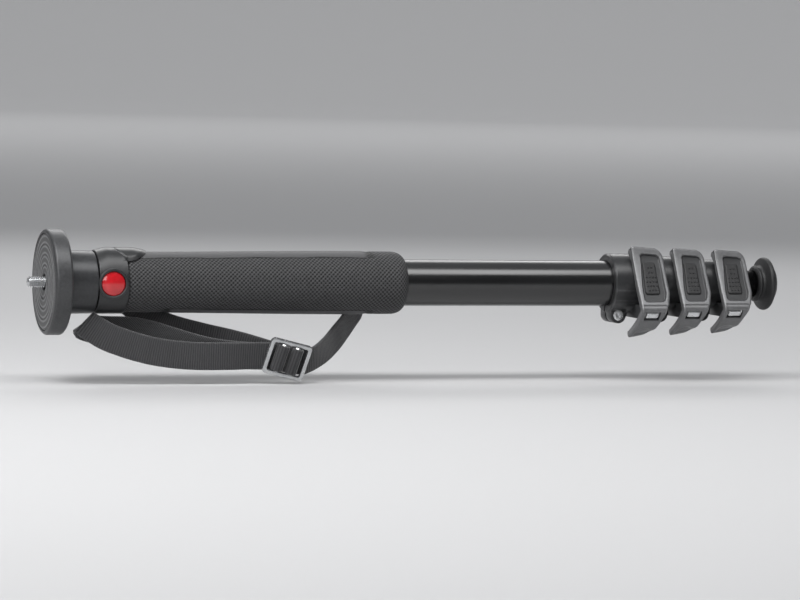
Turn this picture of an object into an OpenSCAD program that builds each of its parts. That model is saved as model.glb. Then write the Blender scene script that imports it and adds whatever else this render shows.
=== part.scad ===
// Four-section camera monopod with three lever locks, a grip sleeve and a webbing wrist strap.
// Frame: X runs from the camera seat to the foot, Z is up, -Y is the side of the levers.
// The origin is the middle of the camera seat.

/* [Camera plate] */
// Diameter of the camera plate
plate_d = 60; // [57:0.5:64]
// Thickness of the camera plate
plate_t = 10.2; // [9.5:0.1:12]
// Bevel around the plate's edge
plate_bevel = 1.2; // [0.4:0.1:2]
// Diameter of the non-slip pad
pad_d = 54.6; // [48:0.2:55]
// Thickness of the non-slip pad
pad_t = 1.6; // [1.2:0.1:2.2]
// Number of ring grooves in the pad
pad_rings = 6; // [3:1:7]
// Width of a ring groove
pad_groove_w = 1; // [0.6:0.1:1.4]
// Depth of a ring groove
pad_groove_t = 0.6; // [0.3:0.1:0.9]
// Diameter of the camera screw
stud_d = 6.35; // [5:0.05:8]
// Length of the camera screw above the seat
stud_len = 9.5; // [6:0.5:12]
// Diameter of the camera screw's flange
stud_flange_d = 14; // [12:0.5:15]
// Thickness of the camera screw's flange
stud_flange_t = 2.5; // [2:0.1:3.5]
// Diameter of the camera screw's shank in the neck
stud_shank_d = 9.5; // [8:0.1:10.5]
// Length of that shank
stud_shank_len = 8; // [6:0.5:10]
// Pitch circle of the plate screws
plate_screw_pcd = 23; // [22:0.5:24]
// Thread diameter of the plate screws
plate_screw_d = 3; // [2.5:0.1:3.4]
// Head diameter of the plate screws
plate_screw_head_d = 5.4; // [4.5:0.1:6]
// Height of those heads
plate_screw_head_t = 2.4; // [1.5:0.1:3]
// Length of the plate screws under the head
plate_screw_len = 14; // [12:0.5:16]
// Diameter of the grub screw that locks the camera screw
grub_d = 4; // [3:0.1:5]
// Depth of the grub screw below the neck's surface
grub_sink = 2; // [1:0.1:3]
// Gap between the camera screw and the pad
pad_hole_gap = 1.5; // [1:0.1:2]
// Relief of the camera screw inside the plate
stud_relief = 0.2; // [0.1:0.05:0.4]

/* [Neck and collar] */
// Diameter of the neck
neck_d = 36.2; // [35:0.2:36.4]
// Narrowing of the neck towards the collar
neck_taper = 0.6; // [0:0.1:1.5]
// Length of the neck
neck_len = 17.4; // [15:0.2:22]
// Length of the neck's spigot in the first tube
spigot_len = 9; // [6:0.5:10]
// Dark seam between neck and collar
seam = 0.6; // [0.3:0.1:1]
// Diameter of the collar
collar_d = 36; // [35:0.1:36.2]
// Length of the collar
collar_len = 17; // [16:0.5:20]
// Height of the tongue over the collar
tongue_rise = 1.9; // [1.2:0.1:2.6]
// Radius of the tongue's round end
tongue_r = 13.4; // [12:0.1:16]
// Part of the collar's length over which the tongue rises
tongue_ramp = 0.4; // [0.3:0.05:0.6]
// Part of the tongue's end before it falls to its tip
tongue_flat = 0.5; // [0.3:0.05:0.7]
// Diameter of the round badge
badge_d = 14; // [11:0.2:15]
// Height of the badge's dome
badge_dome = 1.3; // [0.8:0.1:2]
// Width of the rim around the badge
badge_rim = 1.1; // [0.6:0.1:1.6]
// Rise of that rim over the collar
badge_rim_rise = 0.2; // [0.1:0.05:0.4]
// Depth of the badge's seat in the collar
badge_seat_t = 1.8; // [1.6:0.1:2]
// Height of the badge's straight edge
badge_edge_t = 1.4; // [1:0.1:1.6]
// Diameter of the strap pin
strap_pin_d = 3; // [2.4:0.1:3.2]
// Thickness of the strap pin's lugs
strap_lug_t = 3; // [2:0.1:3.5]

/* [Grip] */
// Diameter of the grip at the collar
grip_d_top = 34.2; // [33:0.1:34.6]
// Diameter of the grip at its lower end
grip_d_low = 36.4; // [35:0.1:38]
// Length of the grip
grip_len = 167.5; // [150:0.5:185]
// Rounding of the grip's lower end
grip_round = 7; // [4:0.5:9]
// Bevel of the grip's upper end
grip_bevel = 0.7; // [0.4:0.1:1]
// Part of the grip's length that is straight at its lower end
grip_straight = 0.2; // [0.1:0.05:0.4]
// Flat rim at the grip's lower end
grip_rim = 0.4; // [0.3:0.1:0.8]

/* [Tubes] */
// Outer diameter of the first tube
tube_1_d = 27; // [26.4:0.1:27.4]
// Step in diameter from each tube to the next
tube_step = 3.8; // [3.4:0.1:4]
// Wall of every tube
tube_wall = 1.2; // [1:0.05:1.3]
// Length of a guide bush at a tube's upper end
bush_len = 20; // [14:1:26]
// Thickness of a guide bush's end ring
bush_cap_t = 1.4; // [1:0.1:2]
// Step between the upper ends of the nested tubes
nest_step = 3; // [2.5:0.1:5]

/* [Locks] */
// Distance from the camera seat to the first lock
first_lock_x = 342; // [330:1:380]
// Length of a lock collar
lock_len = 26.5; // [25.5:0.1:28]
// Gap between closed lock collars
lock_gap = 0.5; // [0.3:0.1:1]
// Length of the collar part that holds the upper tube
fixing_len = 13; // [12.6:0.1:14]
// Diameter of the first lock collar
lock_1_d = 35.4; // [34.6:0.1:35.8]
// Diameter of the second lock collar
lock_2_d = 32.2; // [31:0.1:32.8]
// Diameter of the third lock collar
lock_3_d = 28.8; // [27.4:0.1:29.4]
// Wall of a lock sleeve
sleeve_wall = 1.2; // [0.8:0.05:1.3]
// Width of the slit that lets a collar close
slit_w = 1.6; // [1:0.1:2.2]
// Distance of a fixing screw from the collar's upper end
fixing_screw_x = 5.6; // [5.3:0.1:6]
// Depth of the fixing screws below the tube axis, first lock
fixing_drop = 18.6; // [18:0.1:20]
// Thread diameter of the fixing screws
fixing_screw_d = 3.5; // [3:0.1:4]
// Head diameter of the fixing screws
fixing_head_d = 6.2; // [5.6:0.1:6.6]
// Head height of the fixing screws
fixing_head_t = 3; // [2:0.1:3.5]
// Radius of the fixing ears
fixing_ear_r = 4.8; // [4.2:0.1:5]
// Half width of the pair of fixing ears
fixing_ear_y = 8; // [7.9:0.1:8.6]
// Thickness of the fixing nuts
fixing_nut_t = 2.6; // [2:0.1:3]
// Radius of the hexagon socket in a fixing screw
fixing_hex_r = 1.5; // [1.2:0.1:1.8]
// Depth of the tension screws below the tube axis, first lock
tension_drop = 15.8; // [15.4:0.1:16.2]
// Reach of the front clamp ear from the tube axis, first lock
clamp_reach = 21; // [20:0.1:21.6]
// Thread diameter of the tension screws
tension_screw_d = 3; // [2.5:0.1:3.4]
// Width of the square tension nuts
tension_nut_w = 5; // [4.8:0.1:5.2]
// Thickness of the tension nuts
tension_nut_t = 2.4; // [2:0.1:2.5]
// Head diameter of the tension screws
tension_head_d = 7; // [6:0.1:7.2]
// Head height of the tension screws
tension_head_t = 3; // [2:0.1:3.5]
// Reach of the rear clamp ear behind the tube axis
rear_ear_y = 8; // [7.6:0.1:8.4]
// Depth of the seat for a tension screw's head
tension_seat_t = 0.6; // [0.4:0.1:1]
// Margin of the clamp ears round the tension nut
ear_margin = 1.5; // [1:0.1:1.6]
// Depth of the lever lug's root in the collar
lug_root_t = 2; // [1:0.1:2.4]
// Bevel at a lock collar's upper end
lock_bevel = 1; // [0.6:0.1:1.4]
// Side gap between a lever's cheek and the collar's ears
boss_gap = 0.8; // [0.6:0.1:1]
// Distance of the collar's ears from the collar's lower end
boss_set_back = 3.4; // [3.2:0.1:3.8]

/* [Levers] */
// Height of the first lever
lever_1_h = 54.9; // [53.9:0.1:56]
// Height of the second lever
lever_2_h = 52.8; // [51.8:0.1:54]
// Height of the third lever
lever_3_h = 51; // [50:0.1:52]
// Width of a lever
lever_w = 20; // [19:0.1:20.6]
// Width of a lever at its waist
lever_waist_w = 14.8; // [14.6:0.1:16]
// Width of a lever's tail
lever_tail_w = 13.6; // [13:0.1:14.8]
// Distance of a lever from its collar's upper end
lever_x = 11; // [10.6:0.1:11.4]
// Front wall of a lever
lever_wall = 2.4; // [1.8:0.1:2.6]
// Cheek of a lever
lever_cheek = 2.2; // [1.6:0.1:2.4]
// Depth of that cheek's rim below the lock
lever_rim = 4; // [3:0.1:5]
// Rounding of a lever's top corner at the foot side
lever_round = 6; // [4:0.5:6.5]
// Rounding of a lever's tail at the foot side
lever_tail_round = 4; // [2:0.5:4.5]
// Fall of a lever's top edge towards the foot
lever_top_fall = 1; // [0.4:0.1:1.2]
// Rise of the tail's edge towards the foot
lever_tail_rise = 2.4; // [1:0.1:3]
// Diameter of a lever pin
lever_pin_d = 2.6; // [2.2:0.1:2.8]
// Depth of a lever pin's visible end in its cheek
lever_pin_sink = 0.6; // [0.4:0.1:0.9]
// Length of a lever pin
lever_pin_len = 14.4; // [14:0.1:14.8]
// Distance of a lever's inner hub from its cheek
lever_hub_x = 10.3; // [10.2:0.1:10.6]
// Width of a lever's window
window_w = 9.6; // [7:0.1:10]
// Height of a lever's window
window_h = 5; // [3:0.1:5.4]
// Depth of the windows below the tube axis, first lever
window_drop = 18.2; // [17.8:0.1:18.6]
// Depth of the steel plate's face in a window
window_depth = 0.8; // [0.5:0.1:1.4]
// Gap round the plate's face in a window
window_gap = 0.6; // [0.3:0.1:0.9]
// Thickness of that plate behind the lever's wall
window_plate_t = 1.2; // [0.8:0.1:1.4]
// Width of a lever's rubber pad
lever_pad_w = 9.8; // [8:0.2:10.6]
// Distance of the pad's middle from the lever's cheek side
lever_pad_mid = 9.3; // [9:0.1:9.8]
// Thickness of a lever's rubber pad
lever_pad_t = 1.4; // [1:0.1:1.6]
// How far a lever's pad stands proud
lever_pad_proud = 0.6; // [0.3:0.1:0.8]

/* [Foot] */
// Diameter of the rubber foot
foot_d = 32; // [28:0.5:36]
// Length of the rubber foot
foot_len = 12; // [11:0.5:16]
// Bare length of tube between the last lock and the foot
foot_stem = 15.5; // [13:0.5:20]
// Length of the plug in the last tube
plug_len = 16; // [10:1:24]
// Wall of the plug's cup
plug_wall = 2; // [1.5:0.1:3]
// Wall of the foot's sleeve round the tube
foot_sleeve_t = 1.6; // [1.2:0.1:2]
// Height of the bead at the foot's upper edge
foot_bead = 1.4; // [1:0.1:1.8]
// Thickness of the foot's floor
foot_floor_t = 5; // [4:0.1:6]
// Width of the foot's round rim
foot_rim_w = 3; // [2.4:0.1:3.4]

/* [Wrist strap] */
// Width of the webbing
strap_w = 16; // [12:0.1:16.2]
// Thickness of the webbing
strap_t = 1.6; // [1:0.1:1.8]
// Length of the buckle along the strap
buckle_len = 25.4; // [24.6:0.2:28]
// Width of the buckle across the strap
buckle_w = 21.8; // [21:0.1:24]
// Thickness of the buckle
buckle_t = 3; // [2:0.1:3.2]
// Rail of the buckle's frame
buckle_rail = 2.6; // [2:0.1:2.7]
// Diameter of the buckle's two bars
buckle_bar_d = 4; // [3:0.1:4.2]
// Gap between the webbing and the bar it turns round
strap_bar_gap = 0.2; // [0.15:0.01:0.25]

/* [Clearances] */
// Gap around pieces that are bonded or screwed in
seat_gap = 0.05; // [0.03:0.01:0.1]
// Gap around a pressed pin or bush
press_gap = 0.02; // [0.01:0.01:0.04]
// Gap around a turning pin
pin_gap = 0.05; // [0.02:0.01:0.08]
// Gap around a sliding tube or bush
slide_gap = 0.15; // [0.1:0.01:0.2]
// Gap between loose neighbours
loose_gap = 0.3; // [0.25:0.01:0.35]

/* [Hidden] */
$fn = 64;
cut = 1;
LOCKS = [0, 1, 2];
tube_d = [for (k = [0 : 3]) tube_1_d - k * tube_step];
lock_d = [lock_1_d, lock_2_d, lock_3_d];
lever_h = [lever_1_h, lever_2_h, lever_3_h];

// Stations along X
neck_x = plate_t;
collar_x = neck_x + neck_len + seam;
tube_1_x = neck_x + neck_len + seat_gap;
grip_x = collar_x + collar_len + loose_gap;
grip_end = grip_x + grip_len;
nest_x = neck_x + neck_len + spigot_len + nest_step;
function lock_x(k) = first_lock_x + k * (lock_len + lock_gap);
function lever_x0(k) = lock_x(k) + lever_x;
function tube_top(k) = nest_x + k * (bush_cap_t + nest_step);
lock_end = lock_x(2) + lock_len;
foot_x = lock_end + foot_stem;
foot_end = foot_x + foot_len;
tube_4_end = foot_end - foot_floor_t - seat_gap;
function tube_end(k) = k < 3 ? lock_x(k) + fixing_len : tube_4_end;

// The lever's section in the lock's cross plane, as (front distance, height), for the first lever
LEVER_REF_H = 54.9;
lever_top = [12, 23.2];
lever_top_pull = [17.2, 9.6];
lever_bulge_up = [32.3, -13.2];
lever_bulge_low = [32.3, -15.6];
lever_tail_pull = [26, -24];
lever_tail = [11, -31.7];
lever_heel = [9.8, -28.6];
lever_pivot = [9.3, 18.8];
lever_hub_r = 2.5;
lever_taper_from = -4;
lever_taper_to = -20;
lever_rim_from = 4;
lever_ring_r = lock_1_d / 2 + 2 * loose_gap;
lug_r = 2.1;
lug_strut_w = 4;
tail_sweep_r = 42;
lever_pad_from = 0.35;
lever_pad_to = 0.8;
lever_pad_spare = 0.02;
window_plate_from = 0.08;
window_plate_to = 0.38;
window_face_to = 0.36;
curve_steps = 10;
function lever_ratio(k) = lever_h[k] / LEVER_REF_H;
function bend(a, pull, b, t) = (1 - t) * (1 - t) * a + 2 * t * (1 - t) * pull + t * t * b;
function bend_slope(a, pull, b, t) = 2 * (1 - t) * (pull - a) + 2 * t * (b - pull);
function front(t) = bend(lever_top, lever_top_pull, lever_bulge_up, t);
function front_normal(t) =
    let (d = bend_slope(lever_top, lever_top_pull, lever_bulge_up, t))
    [-d[1], d[0]] / norm(d);
function underside(t) = bend(lever_bulge_low, lever_tail_pull, lever_tail, t);
function underside_normal(t) =
    let (d = bend_slope(lever_bulge_low, lever_tail_pull, lever_tail, t))
    [-d[1], d[0]] / norm(d);
// Outer section: front, underside and heel, then up round the collar and round the pivot
lever_section = [
    for (i = [0 : curve_steps]) front(i / curve_steps),
    for (i = [0 : curve_steps]) underside(i / curve_steps),
    lever_heel,
    for (a = [-20 : 11 : 57]) lever_ring_r * [cos(a), sin(a)],
    for (a = [200 : -22 : 90]) lever_pivot + lever_hub_r * [cos(a), sin(a)]
];
// A point behind the underside, no further from the pivot than the tail's swing past the clamp allows
function swept(p) =
    norm(p - lever_pivot) > tail_sweep_r
        ? lever_pivot + tail_sweep_r * (p - lever_pivot) / norm(p - lever_pivot)
        : p;
// Hollow behind the front wall, open towards the tube and at the top
function lever_hollow(wall) =
    let (
        open_z = 2 * lever_top[1],
        back_u = -lever_bulge_up[0],
        highest = front(0) - wall * front_normal(0),
        lowest = swept(underside(1) - wall * underside_normal(1))
    )
    [
        [highest[0], open_z],
        for (i = [0 : curve_steps]) front(i / curve_steps) - wall * front_normal(i / curve_steps),
        for (i = [1 : curve_steps])
            swept(underside(i / curve_steps) - wall * underside_normal(i / curve_steps)),
        [back_u, lowest[1]], [back_u, open_z]
    ];

// Floor of the badge's seat
badge_y = -collar_d / 2 + badge_seat_t;

// The strap's runs: points down the middle of the webbing, from the buckle and from the strap pin
strap_pin_at = [36, 21.5, -4];
strap_bend_r = strap_pin_d / 2 + strap_bar_gap + strap_t / 2;
buckle_at = [139, -17.5, -43];
buckle_lean = 14;
buckle_tip = 14;
bar_half_gap = 4.2;
front_run = [
    [129.6, -14.4, -41.1], [124, -14.3, -41], [108, -14.8, -41.3], [88, -15, -41.2], [75, -14.6, -40.4],
    [62, -14.2, -38.6], [51, -14, -36], [42, -13.8, -33.2], [34, -13, -30.2], [28, -11.6, -26.8],
    [23.6, -10.2, -23.8], [21.8, -8.4, -22.6], [22.6, -5.8, -24.8], [26, -3.6, -26],
    [30.5, -2.5, -26.8], [37, -2, -27.2], [50, -2.4, -27.6], [61, -4.2, -29.6], [74, -7.2, -33.4],
    [88, -9.9, -37.4], [100, -11.3, -39.8], [115, -11.9, -41.2], [127, -11.9, -41.6], [136, -11.9, -42.4]
];
// Slant of the webbing's width along a run, and how far it tips to the front, both by point number
front_slant = [
    [0, buckle_lean], [3, 0], [7, 0], [8, 12], [9, 28], [10, 42], [11, 48], [12, 44], [13, 32], [14, 18],
    [15, 6], [16, 0], [21, 0], [23, buckle_lean]
];
front_tip = [
    [0, buckle_tip], [1, 0.8 * buckle_tip], [3, 0], [20, 0], [22, 0.6 * buckle_tip], [23, buckle_tip]
];
rear_run = [
    strap_pin_at - [0, strap_bend_r, 0], strap_pin_at - [-3.6, strap_bend_r, 0], [45, 19, -6],
    [52, 19.2, -10.4], [58, 18.4, -14.8], [64, 16.4, -19.4], [70, 13, -23.6], [77, 8.8, -27],
    [93, 1.4, -31.2], [104, -2.4, -33.6], [115, -5.5, -36.2], [130, -8.8, -40.4], [143, -10.3, -44],
    [147.6, -10.8, -45.2]
];
rear_slant = [[10, 0], [12, buckle_lean]];
rear_tip = [[10, 0], [11, 0.7 * buckle_tip], [12, buckle_tip]];
return_run = [
    [148.8, -14.8, -44.6], [152, -14.2, -44.3], [158, -11.4, -42.4], [167, -5, -37.6], [177, 4, -30.4],
    [184, 11.6, -25], [190, 18, -19.6], [194.5, 22.4, -15.4], [196.4, 25, -12.8], [195.4, 27, -11.2],
    [191.6, 28, -10.2], [184, 27.4, -9.6], [170, 25.8, -9.4], [140, 24.4, -9.4], [100, 24, -8.6],
    [70, 24, -6.6], [50, 24, -4.4],
    strap_pin_at + [3.6, strap_bend_r, 0], strap_pin_at + [0, strap_bend_r, 0],
    for (a = [45, 90, 135]) strap_pin_at + strap_bend_r * [-sin(a), cos(a), 0],
    strap_pin_at - [loose_gap, strap_bend_r, 0]
];
return_slant = [[1, buckle_lean], [4, 0]];
return_tip = [[1, buckle_tip], [4, 0]];

// Helpers: solids along the tube axis, across it, and out of a cross section
module bar_x(x, len, r) {
    translate([x, 0, 0]) rotate([0, 90, 0]) cylinder(h = len, r = r);
}
module pipe_x(x, len, outer_r, inner_r) {
    difference() {
        bar_x(x, len, outer_r);
        bar_x(x - cut, len + 2 * cut, inner_r);
    }
}
module spun_x(points) {
    rotate([0, 90, 0]) rotate_extrude() polygon(points);
}
module bar_y(x, z, y_from, y_to, r) {
    translate([x, y_to, z]) rotate([90, 0, 0]) cylinder(h = y_to - y_from, r = r);
}
module section_x(x, len) {
    translate([x, 0, 0]) rotate([90, 0, 90]) linear_extrude(len) mirror([1, 0]) children();
}

// Camera plate
module camera_screw() {
    color("silver") union() {
        bar_x(-stud_len, stud_len, stud_d / 2);
        bar_x(0, plate_t - stud_flange_t, stud_d / 2 - stud_relief);
        bar_x(plate_t - stud_flange_t, stud_flange_t, stud_flange_d / 2);
        bar_x(plate_t, stud_shank_len, stud_shank_d / 2);
    }
}
module at_plate_screws() {
    for (a = [90, 210, 330]) rotate([a, 0, 0]) translate([0, plate_screw_pcd / 2, 0]) children();
}
module top_plate() {
    color("dimgray") difference() {
        union() {
            bar_x(plate_bevel, plate_t - 2 * plate_bevel, plate_d / 2);
            rotate([0, 90, 0])
                cylinder(h = plate_bevel, r1 = plate_d / 2 - plate_bevel, r2 = plate_d / 2);
            translate([plate_t - plate_bevel, 0, 0]) rotate([0, 90, 0])
                cylinder(h = plate_bevel, r1 = plate_d / 2, r2 = plate_d / 2 - plate_bevel);
        }
        bar_x(-cut, pad_t + cut, pad_d / 2 + seat_gap);
        bar_x(-cut, plate_t + 2 * cut, stud_d / 2 + slide_gap);
        bar_x(plate_t - stud_flange_t - seat_gap, stud_flange_t + cut, stud_flange_d / 2 + slide_gap);
        at_plate_screws() bar_x(-cut, plate_t + 2 * cut, plate_screw_d / 2 + seat_gap);
        at_plate_screws() bar_x(-cut, pad_t + plate_screw_head_t + cut, plate_screw_head_d / 2 + slide_gap);
    }
}
module plate_pad() {
    hole_r = stud_d / 2 + pad_hole_gap;
    ring_step = (pad_d / 2 - hole_r) / (pad_rings + 1);
    color("#26282b") difference() {
        bar_x(0, pad_t - seat_gap, pad_d / 2);
        bar_x(-cut, pad_t + 2 * cut, hole_r);
        for (i = [1 : pad_rings])
            pipe_x(-cut, cut + pad_groove_t, hole_r + i * ring_step + pad_groove_w / 2,
                hole_r + i * ring_step - pad_groove_w / 2);
    }
}
module plate_screws() {
    color("gray") at_plate_screws() union() {
        bar_x(pad_t + seat_gap, plate_screw_head_t - seat_gap, plate_screw_head_d / 2);
        bar_x(pad_t + plate_screw_head_t, plate_screw_len, plate_screw_d / 2);
    }
}
module head_neck() {
    spigot_r = tube_1_d / 2 - tube_wall - seat_gap;
    color("#303338") difference() {
        union() {
            translate([neck_x, 0, 0]) rotate([0, 90, 0])
                cylinder(h = neck_len, r1 = neck_d / 2, r2 = (neck_d - neck_taper) / 2);
            bar_x(neck_x, neck_len + spigot_len, spigot_r);
        }
        bar_x(neck_x - cut, stud_shank_len + slide_gap + cut, stud_shank_d / 2 + slide_gap);
        at_plate_screws() bar_x(neck_x - cut, plate_screw_len + cut, plate_screw_d / 2 + seat_gap);
        bar_y(neck_x + stud_shank_len / 2, 0, 0, neck_d, grub_d / 2 + seat_gap);
    }
}
module stud_grub_screw() {
    color("gray")
        bar_y(neck_x + stud_shank_len / 2, 0, stud_shank_d / 2 + seat_gap, neck_d / 2 - grub_sink,
            grub_d / 2);
}

// Collar with its tongue, badge and strap pin
module collar_tongue() {
    root_r = collar_d / 2 - tongue_rise;
    rise_r = collar_d / 2 + tongue_rise;
    under_r = grip_d_top / 2 + loose_gap;
    end_x = collar_x + collar_len;
    tip_x = end_x + tongue_r;
    intersection() {
        spun_x([
            [root_r, collar_x], [collar_d / 2, collar_x], [rise_r, collar_x + collar_len * tongue_ramp],
            [rise_r, end_x + tongue_r * tongue_flat], [grip_d_low / 2, tip_x],
            [under_r, tip_x], [under_r, end_x], [root_r, end_x]
        ]);
        union() {
            translate([collar_x, -tongue_r, 0]) cube([collar_len, 2 * tongue_r, plate_d]);
            translate([end_x, 0, 0]) cylinder(h = plate_d, r = tongue_r);
        }
    }
}
module strap_lugs() {
    for (side = [-1, 1])
        translate([strap_pin_at[0] - strap_pin_d, 0,
            strap_pin_at[2] + side * (strap_w / 2 + loose_gap + strap_lug_t / 2) - strap_lug_t / 2])
            cube([2 * strap_pin_d, strap_pin_at[1] + strap_pin_d, strap_lug_t]);
}
module grip_collar() {
    badge_x = strap_pin_at[0];
    color("#2b2d30") difference() {
        union() {
            bar_x(collar_x, collar_len, collar_d / 2);
            collar_tongue();
            strap_lugs();
            bar_y(badge_x, 0, -collar_d / 2 - badge_rim_rise, 0, badge_d / 2 + badge_rim);
        }
        bar_x(collar_x - cut, collar_len + tongue_r + 2 * cut, tube_1_d / 2 + seat_gap);
        bar_y(badge_x, 0, -collar_d, badge_y, badge_d / 2 + seat_gap);
        translate(strap_pin_at)
            cylinder(h = strap_w + 2 * strap_lug_t + 4 * cut, r = strap_pin_d / 2 + seat_gap,
                center = true);
    }
}
module red_badge() {
    badge_r = badge_d / 2;
    dome_r = (badge_r * badge_r + badge_dome * badge_dome) / (2 * badge_dome);
    dome_arc = asin(badge_r / dome_r);
    color("#c01018") translate([strap_pin_at[0], badge_y - seat_gap, 0]) rotate([90, 0, 0]) rotate_extrude()
        polygon([
            [0, 0], [badge_r, 0],
            for (i = [0 : curve_steps])
                let (a = dome_arc * (1 - i / curve_steps))
                [dome_r * sin(a), badge_edge_t + badge_dome - dome_r * (1 - cos(a))]
        ]);
}
module strap_anchor_pin() {
    color("silver") translate(strap_pin_at)
        cylinder(h = strap_w + 2 * (strap_lug_t + loose_gap), r = strap_pin_d / 2, center = true);
}

// Grip
module grip_sleeve() {
    bore_r = tube_1_d / 2 + seat_gap;
    low_r = grip_d_low / 2;
    round_r = min(grip_round, low_r - bore_r - grip_rim);
    color("#1d1e20") spun_x([
        [bore_r, grip_x], [grip_d_top / 2 - grip_bevel, grip_x], [grip_d_top / 2, grip_x + grip_bevel],
        [low_r, grip_end - grip_len * grip_straight], [low_r, grip_end - grip_round],
        for (a = [15 : 15 : 90]) [low_r - round_r * (1 - cos(a)), grip_end - grip_round * (1 - sin(a))],
        [bore_r, grip_end]
    ]);
}

// Tubes and their guide bushes
module section_1_tube() {
    color("#0c0c0d")
        pipe_x(tube_1_x, tube_end(0) - seat_gap - tube_1_x, tube_1_d / 2, tube_1_d / 2 - tube_wall);
}
module inner_tube(k) {
    x = tube_top(k) + bush_cap_t;
    color("#0c0c0d")
        pipe_x(x, tube_end(k) - seat_gap - x, tube_d[k] / 2, tube_d[k] / 2 - tube_wall);
}
module top_bush(k) {
    x = tube_top(k);
    outer_r = tube_d[k - 1] / 2 - tube_wall - slide_gap;
    tube_r = tube_d[k] / 2;
    color("#d8d8d2") spun_x([
        [tube_r - tube_wall, x], [outer_r, x], [outer_r, x + bush_len],
        [tube_r + press_gap, x + bush_len], [tube_r + press_gap, x + bush_cap_t],
        [tube_r - tube_wall, x + bush_cap_t]
    ]);
}

// Locks: k is 0, 1 or 2
function drop(k, depth) = -depth * lever_ratio(k);
function ear_z(k) = drop(k, fixing_drop);
function screw_z(k) = drop(k, tension_drop);
function pivot(k) = lever_ratio(k) * lever_pivot;
function boss_x(k) = lever_x0(k) + lever_cheek + boss_gap;
function boss_len(k) = lock_x(k) + lock_len - boss_set_back - boss_x(k);
function window_x(k) = lever_x0(k) + lever_waist_w / 2;
function boss_front(k) = clamp_reach * lever_ratio(k);
tension_seat_y = rear_ear_y - tension_seat_t;
module lock_collar(k) {
    sleeve_r = tube_d[k + 1] / 2 + slide_gap + sleeve_wall;
    p = pivot(k);
    ear_half = tension_nut_w / 2 + ear_margin;
    strut_root = lock_d[k] / 2 - lug_root_t;
    color("#232528") difference() {
        union() {
            bar_x(lock_x(k) + lock_bevel, lock_len - lock_bevel, lock_d[k] / 2);
            translate([lock_x(k), 0, 0]) rotate([0, 90, 0])
                cylinder(h = lock_bevel, r1 = lock_d[k] / 2 - lock_bevel, r2 = lock_d[k] / 2);
            // Fixing ears
            bar_y(lock_x(k) + fixing_screw_x, ear_z(k), -fixing_ear_y, fixing_ear_y, fixing_ear_r);
            translate([lock_x(k) + fixing_screw_x - fixing_ear_r, -fixing_ear_y, ear_z(k)])
                cube([2 * fixing_ear_r, 2 * fixing_ear_y, -ear_z(k) - tube_d[k] / 2]);
            // Clamp ears, the front one under the lever
            translate([boss_x(k), -boss_front(k), screw_z(k) - ear_half])
                cube([boss_len(k), boss_front(k) + rear_ear_y, 2 * ear_half]);
            // Lug for the lever pin
            section_x(boss_x(k), boss_len(k)) {
                translate(p) circle(r = lug_r);
                rotate(atan2(p[1], p[0])) translate([strut_root, -lug_strut_w / 2])
                    square([norm(p) - strut_root, lug_strut_w]);
            }
        }
        bar_x(lock_x(k) - cut, fixing_len + cut, tube_d[k] / 2 + seat_gap);
        bar_x(lock_x(k), lock_len + cut, sleeve_r + seat_gap);
        translate([lock_x(k) - cut, -slit_w / 2, -plate_d]) cube([lock_len + 2 * cut, slit_w, plate_d]);
        bar_y(lock_x(k) + fixing_screw_x, ear_z(k), -plate_d, plate_d, fixing_screw_d / 2 + seat_gap);
        bar_y(lock_x(k) + fixing_screw_x, ear_z(k), -plate_d, -fixing_ear_y + fixing_head_t,
            fixing_head_d / 2 + slide_gap);
        bar_y(window_x(k), screw_z(k), -plate_d, plate_d, tension_screw_d / 2 + seat_gap);
        bar_y(window_x(k), screw_z(k), tension_seat_y, plate_d, tension_head_d / 2 + slide_gap);
        translate([boss_x(k) - cut, -p[0], p[1]]) rotate([0, 90, 0])
            cylinder(h = boss_len(k) + 2 * cut, r = lever_pin_d / 2 + press_gap);
    }
}
module lock_sleeve(k) {
    tube_r = tube_d[k + 1] / 2;
    x = lock_x(k) + fixing_len + loose_gap;
    color("#c9c9c2") difference() {
        pipe_x(x, lock_len - fixing_len - 2 * loose_gap, tube_r + slide_gap + sleeve_wall,
            tube_r + slide_gap);
        translate([x - cut, -slit_w / 2, -plate_d]) cube([lock_len, slit_w, plate_d]);
    }
}
module fixing_screw(k) {
    x = lock_x(k) + fixing_screw_x;
    head_end = -fixing_ear_y + fixing_head_t - seat_gap;
    screw_end = fixing_ear_y + fixing_nut_t + loose_gap;
    color("silver") difference() {
        union() {
            bar_y(x, ear_z(k), -fixing_ear_y, head_end, fixing_head_d / 2);
            bar_y(x, ear_z(k), head_end, screw_end, fixing_screw_d / 2);
        }
        bar_y(x, ear_z(k), -fixing_ear_y - cut, -fixing_ear_y + fixing_head_t / 2, fixing_hex_r, $fn = 6);
    }
}
module fixing_nut(k) {
    x = lock_x(k) + fixing_screw_x;
    color("silver") difference() {
        translate([x, fixing_ear_y + seat_gap + fixing_nut_t, ear_z(k)]) rotate([90, 0, 0])
            cylinder(h = fixing_nut_t, r = fixing_head_d / 2, $fn = 6);
        bar_y(x, ear_z(k), 0, plate_d, fixing_screw_d / 2 + seat_gap);
    }
}
module lever_pin(k) {
    p = pivot(k);
    color("silver") translate([lever_x0(k) + lever_pin_sink, -p[0], p[1]]) rotate([0, 90, 0])
        cylinder(h = lever_pin_len, r = lever_pin_d / 2);
}
module tension_screw(k) {
    nut_end = -boss_front(k) - seat_gap - tension_nut_t;
    color("silver") union() {
        bar_y(window_x(k), screw_z(k), nut_end, tension_seat_y + seat_gap, tension_screw_d / 2);
        bar_y(window_x(k), screw_z(k), tension_seat_y + seat_gap, tension_seat_y + tension_head_t,
            tension_head_d / 2);
    }
}
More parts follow.
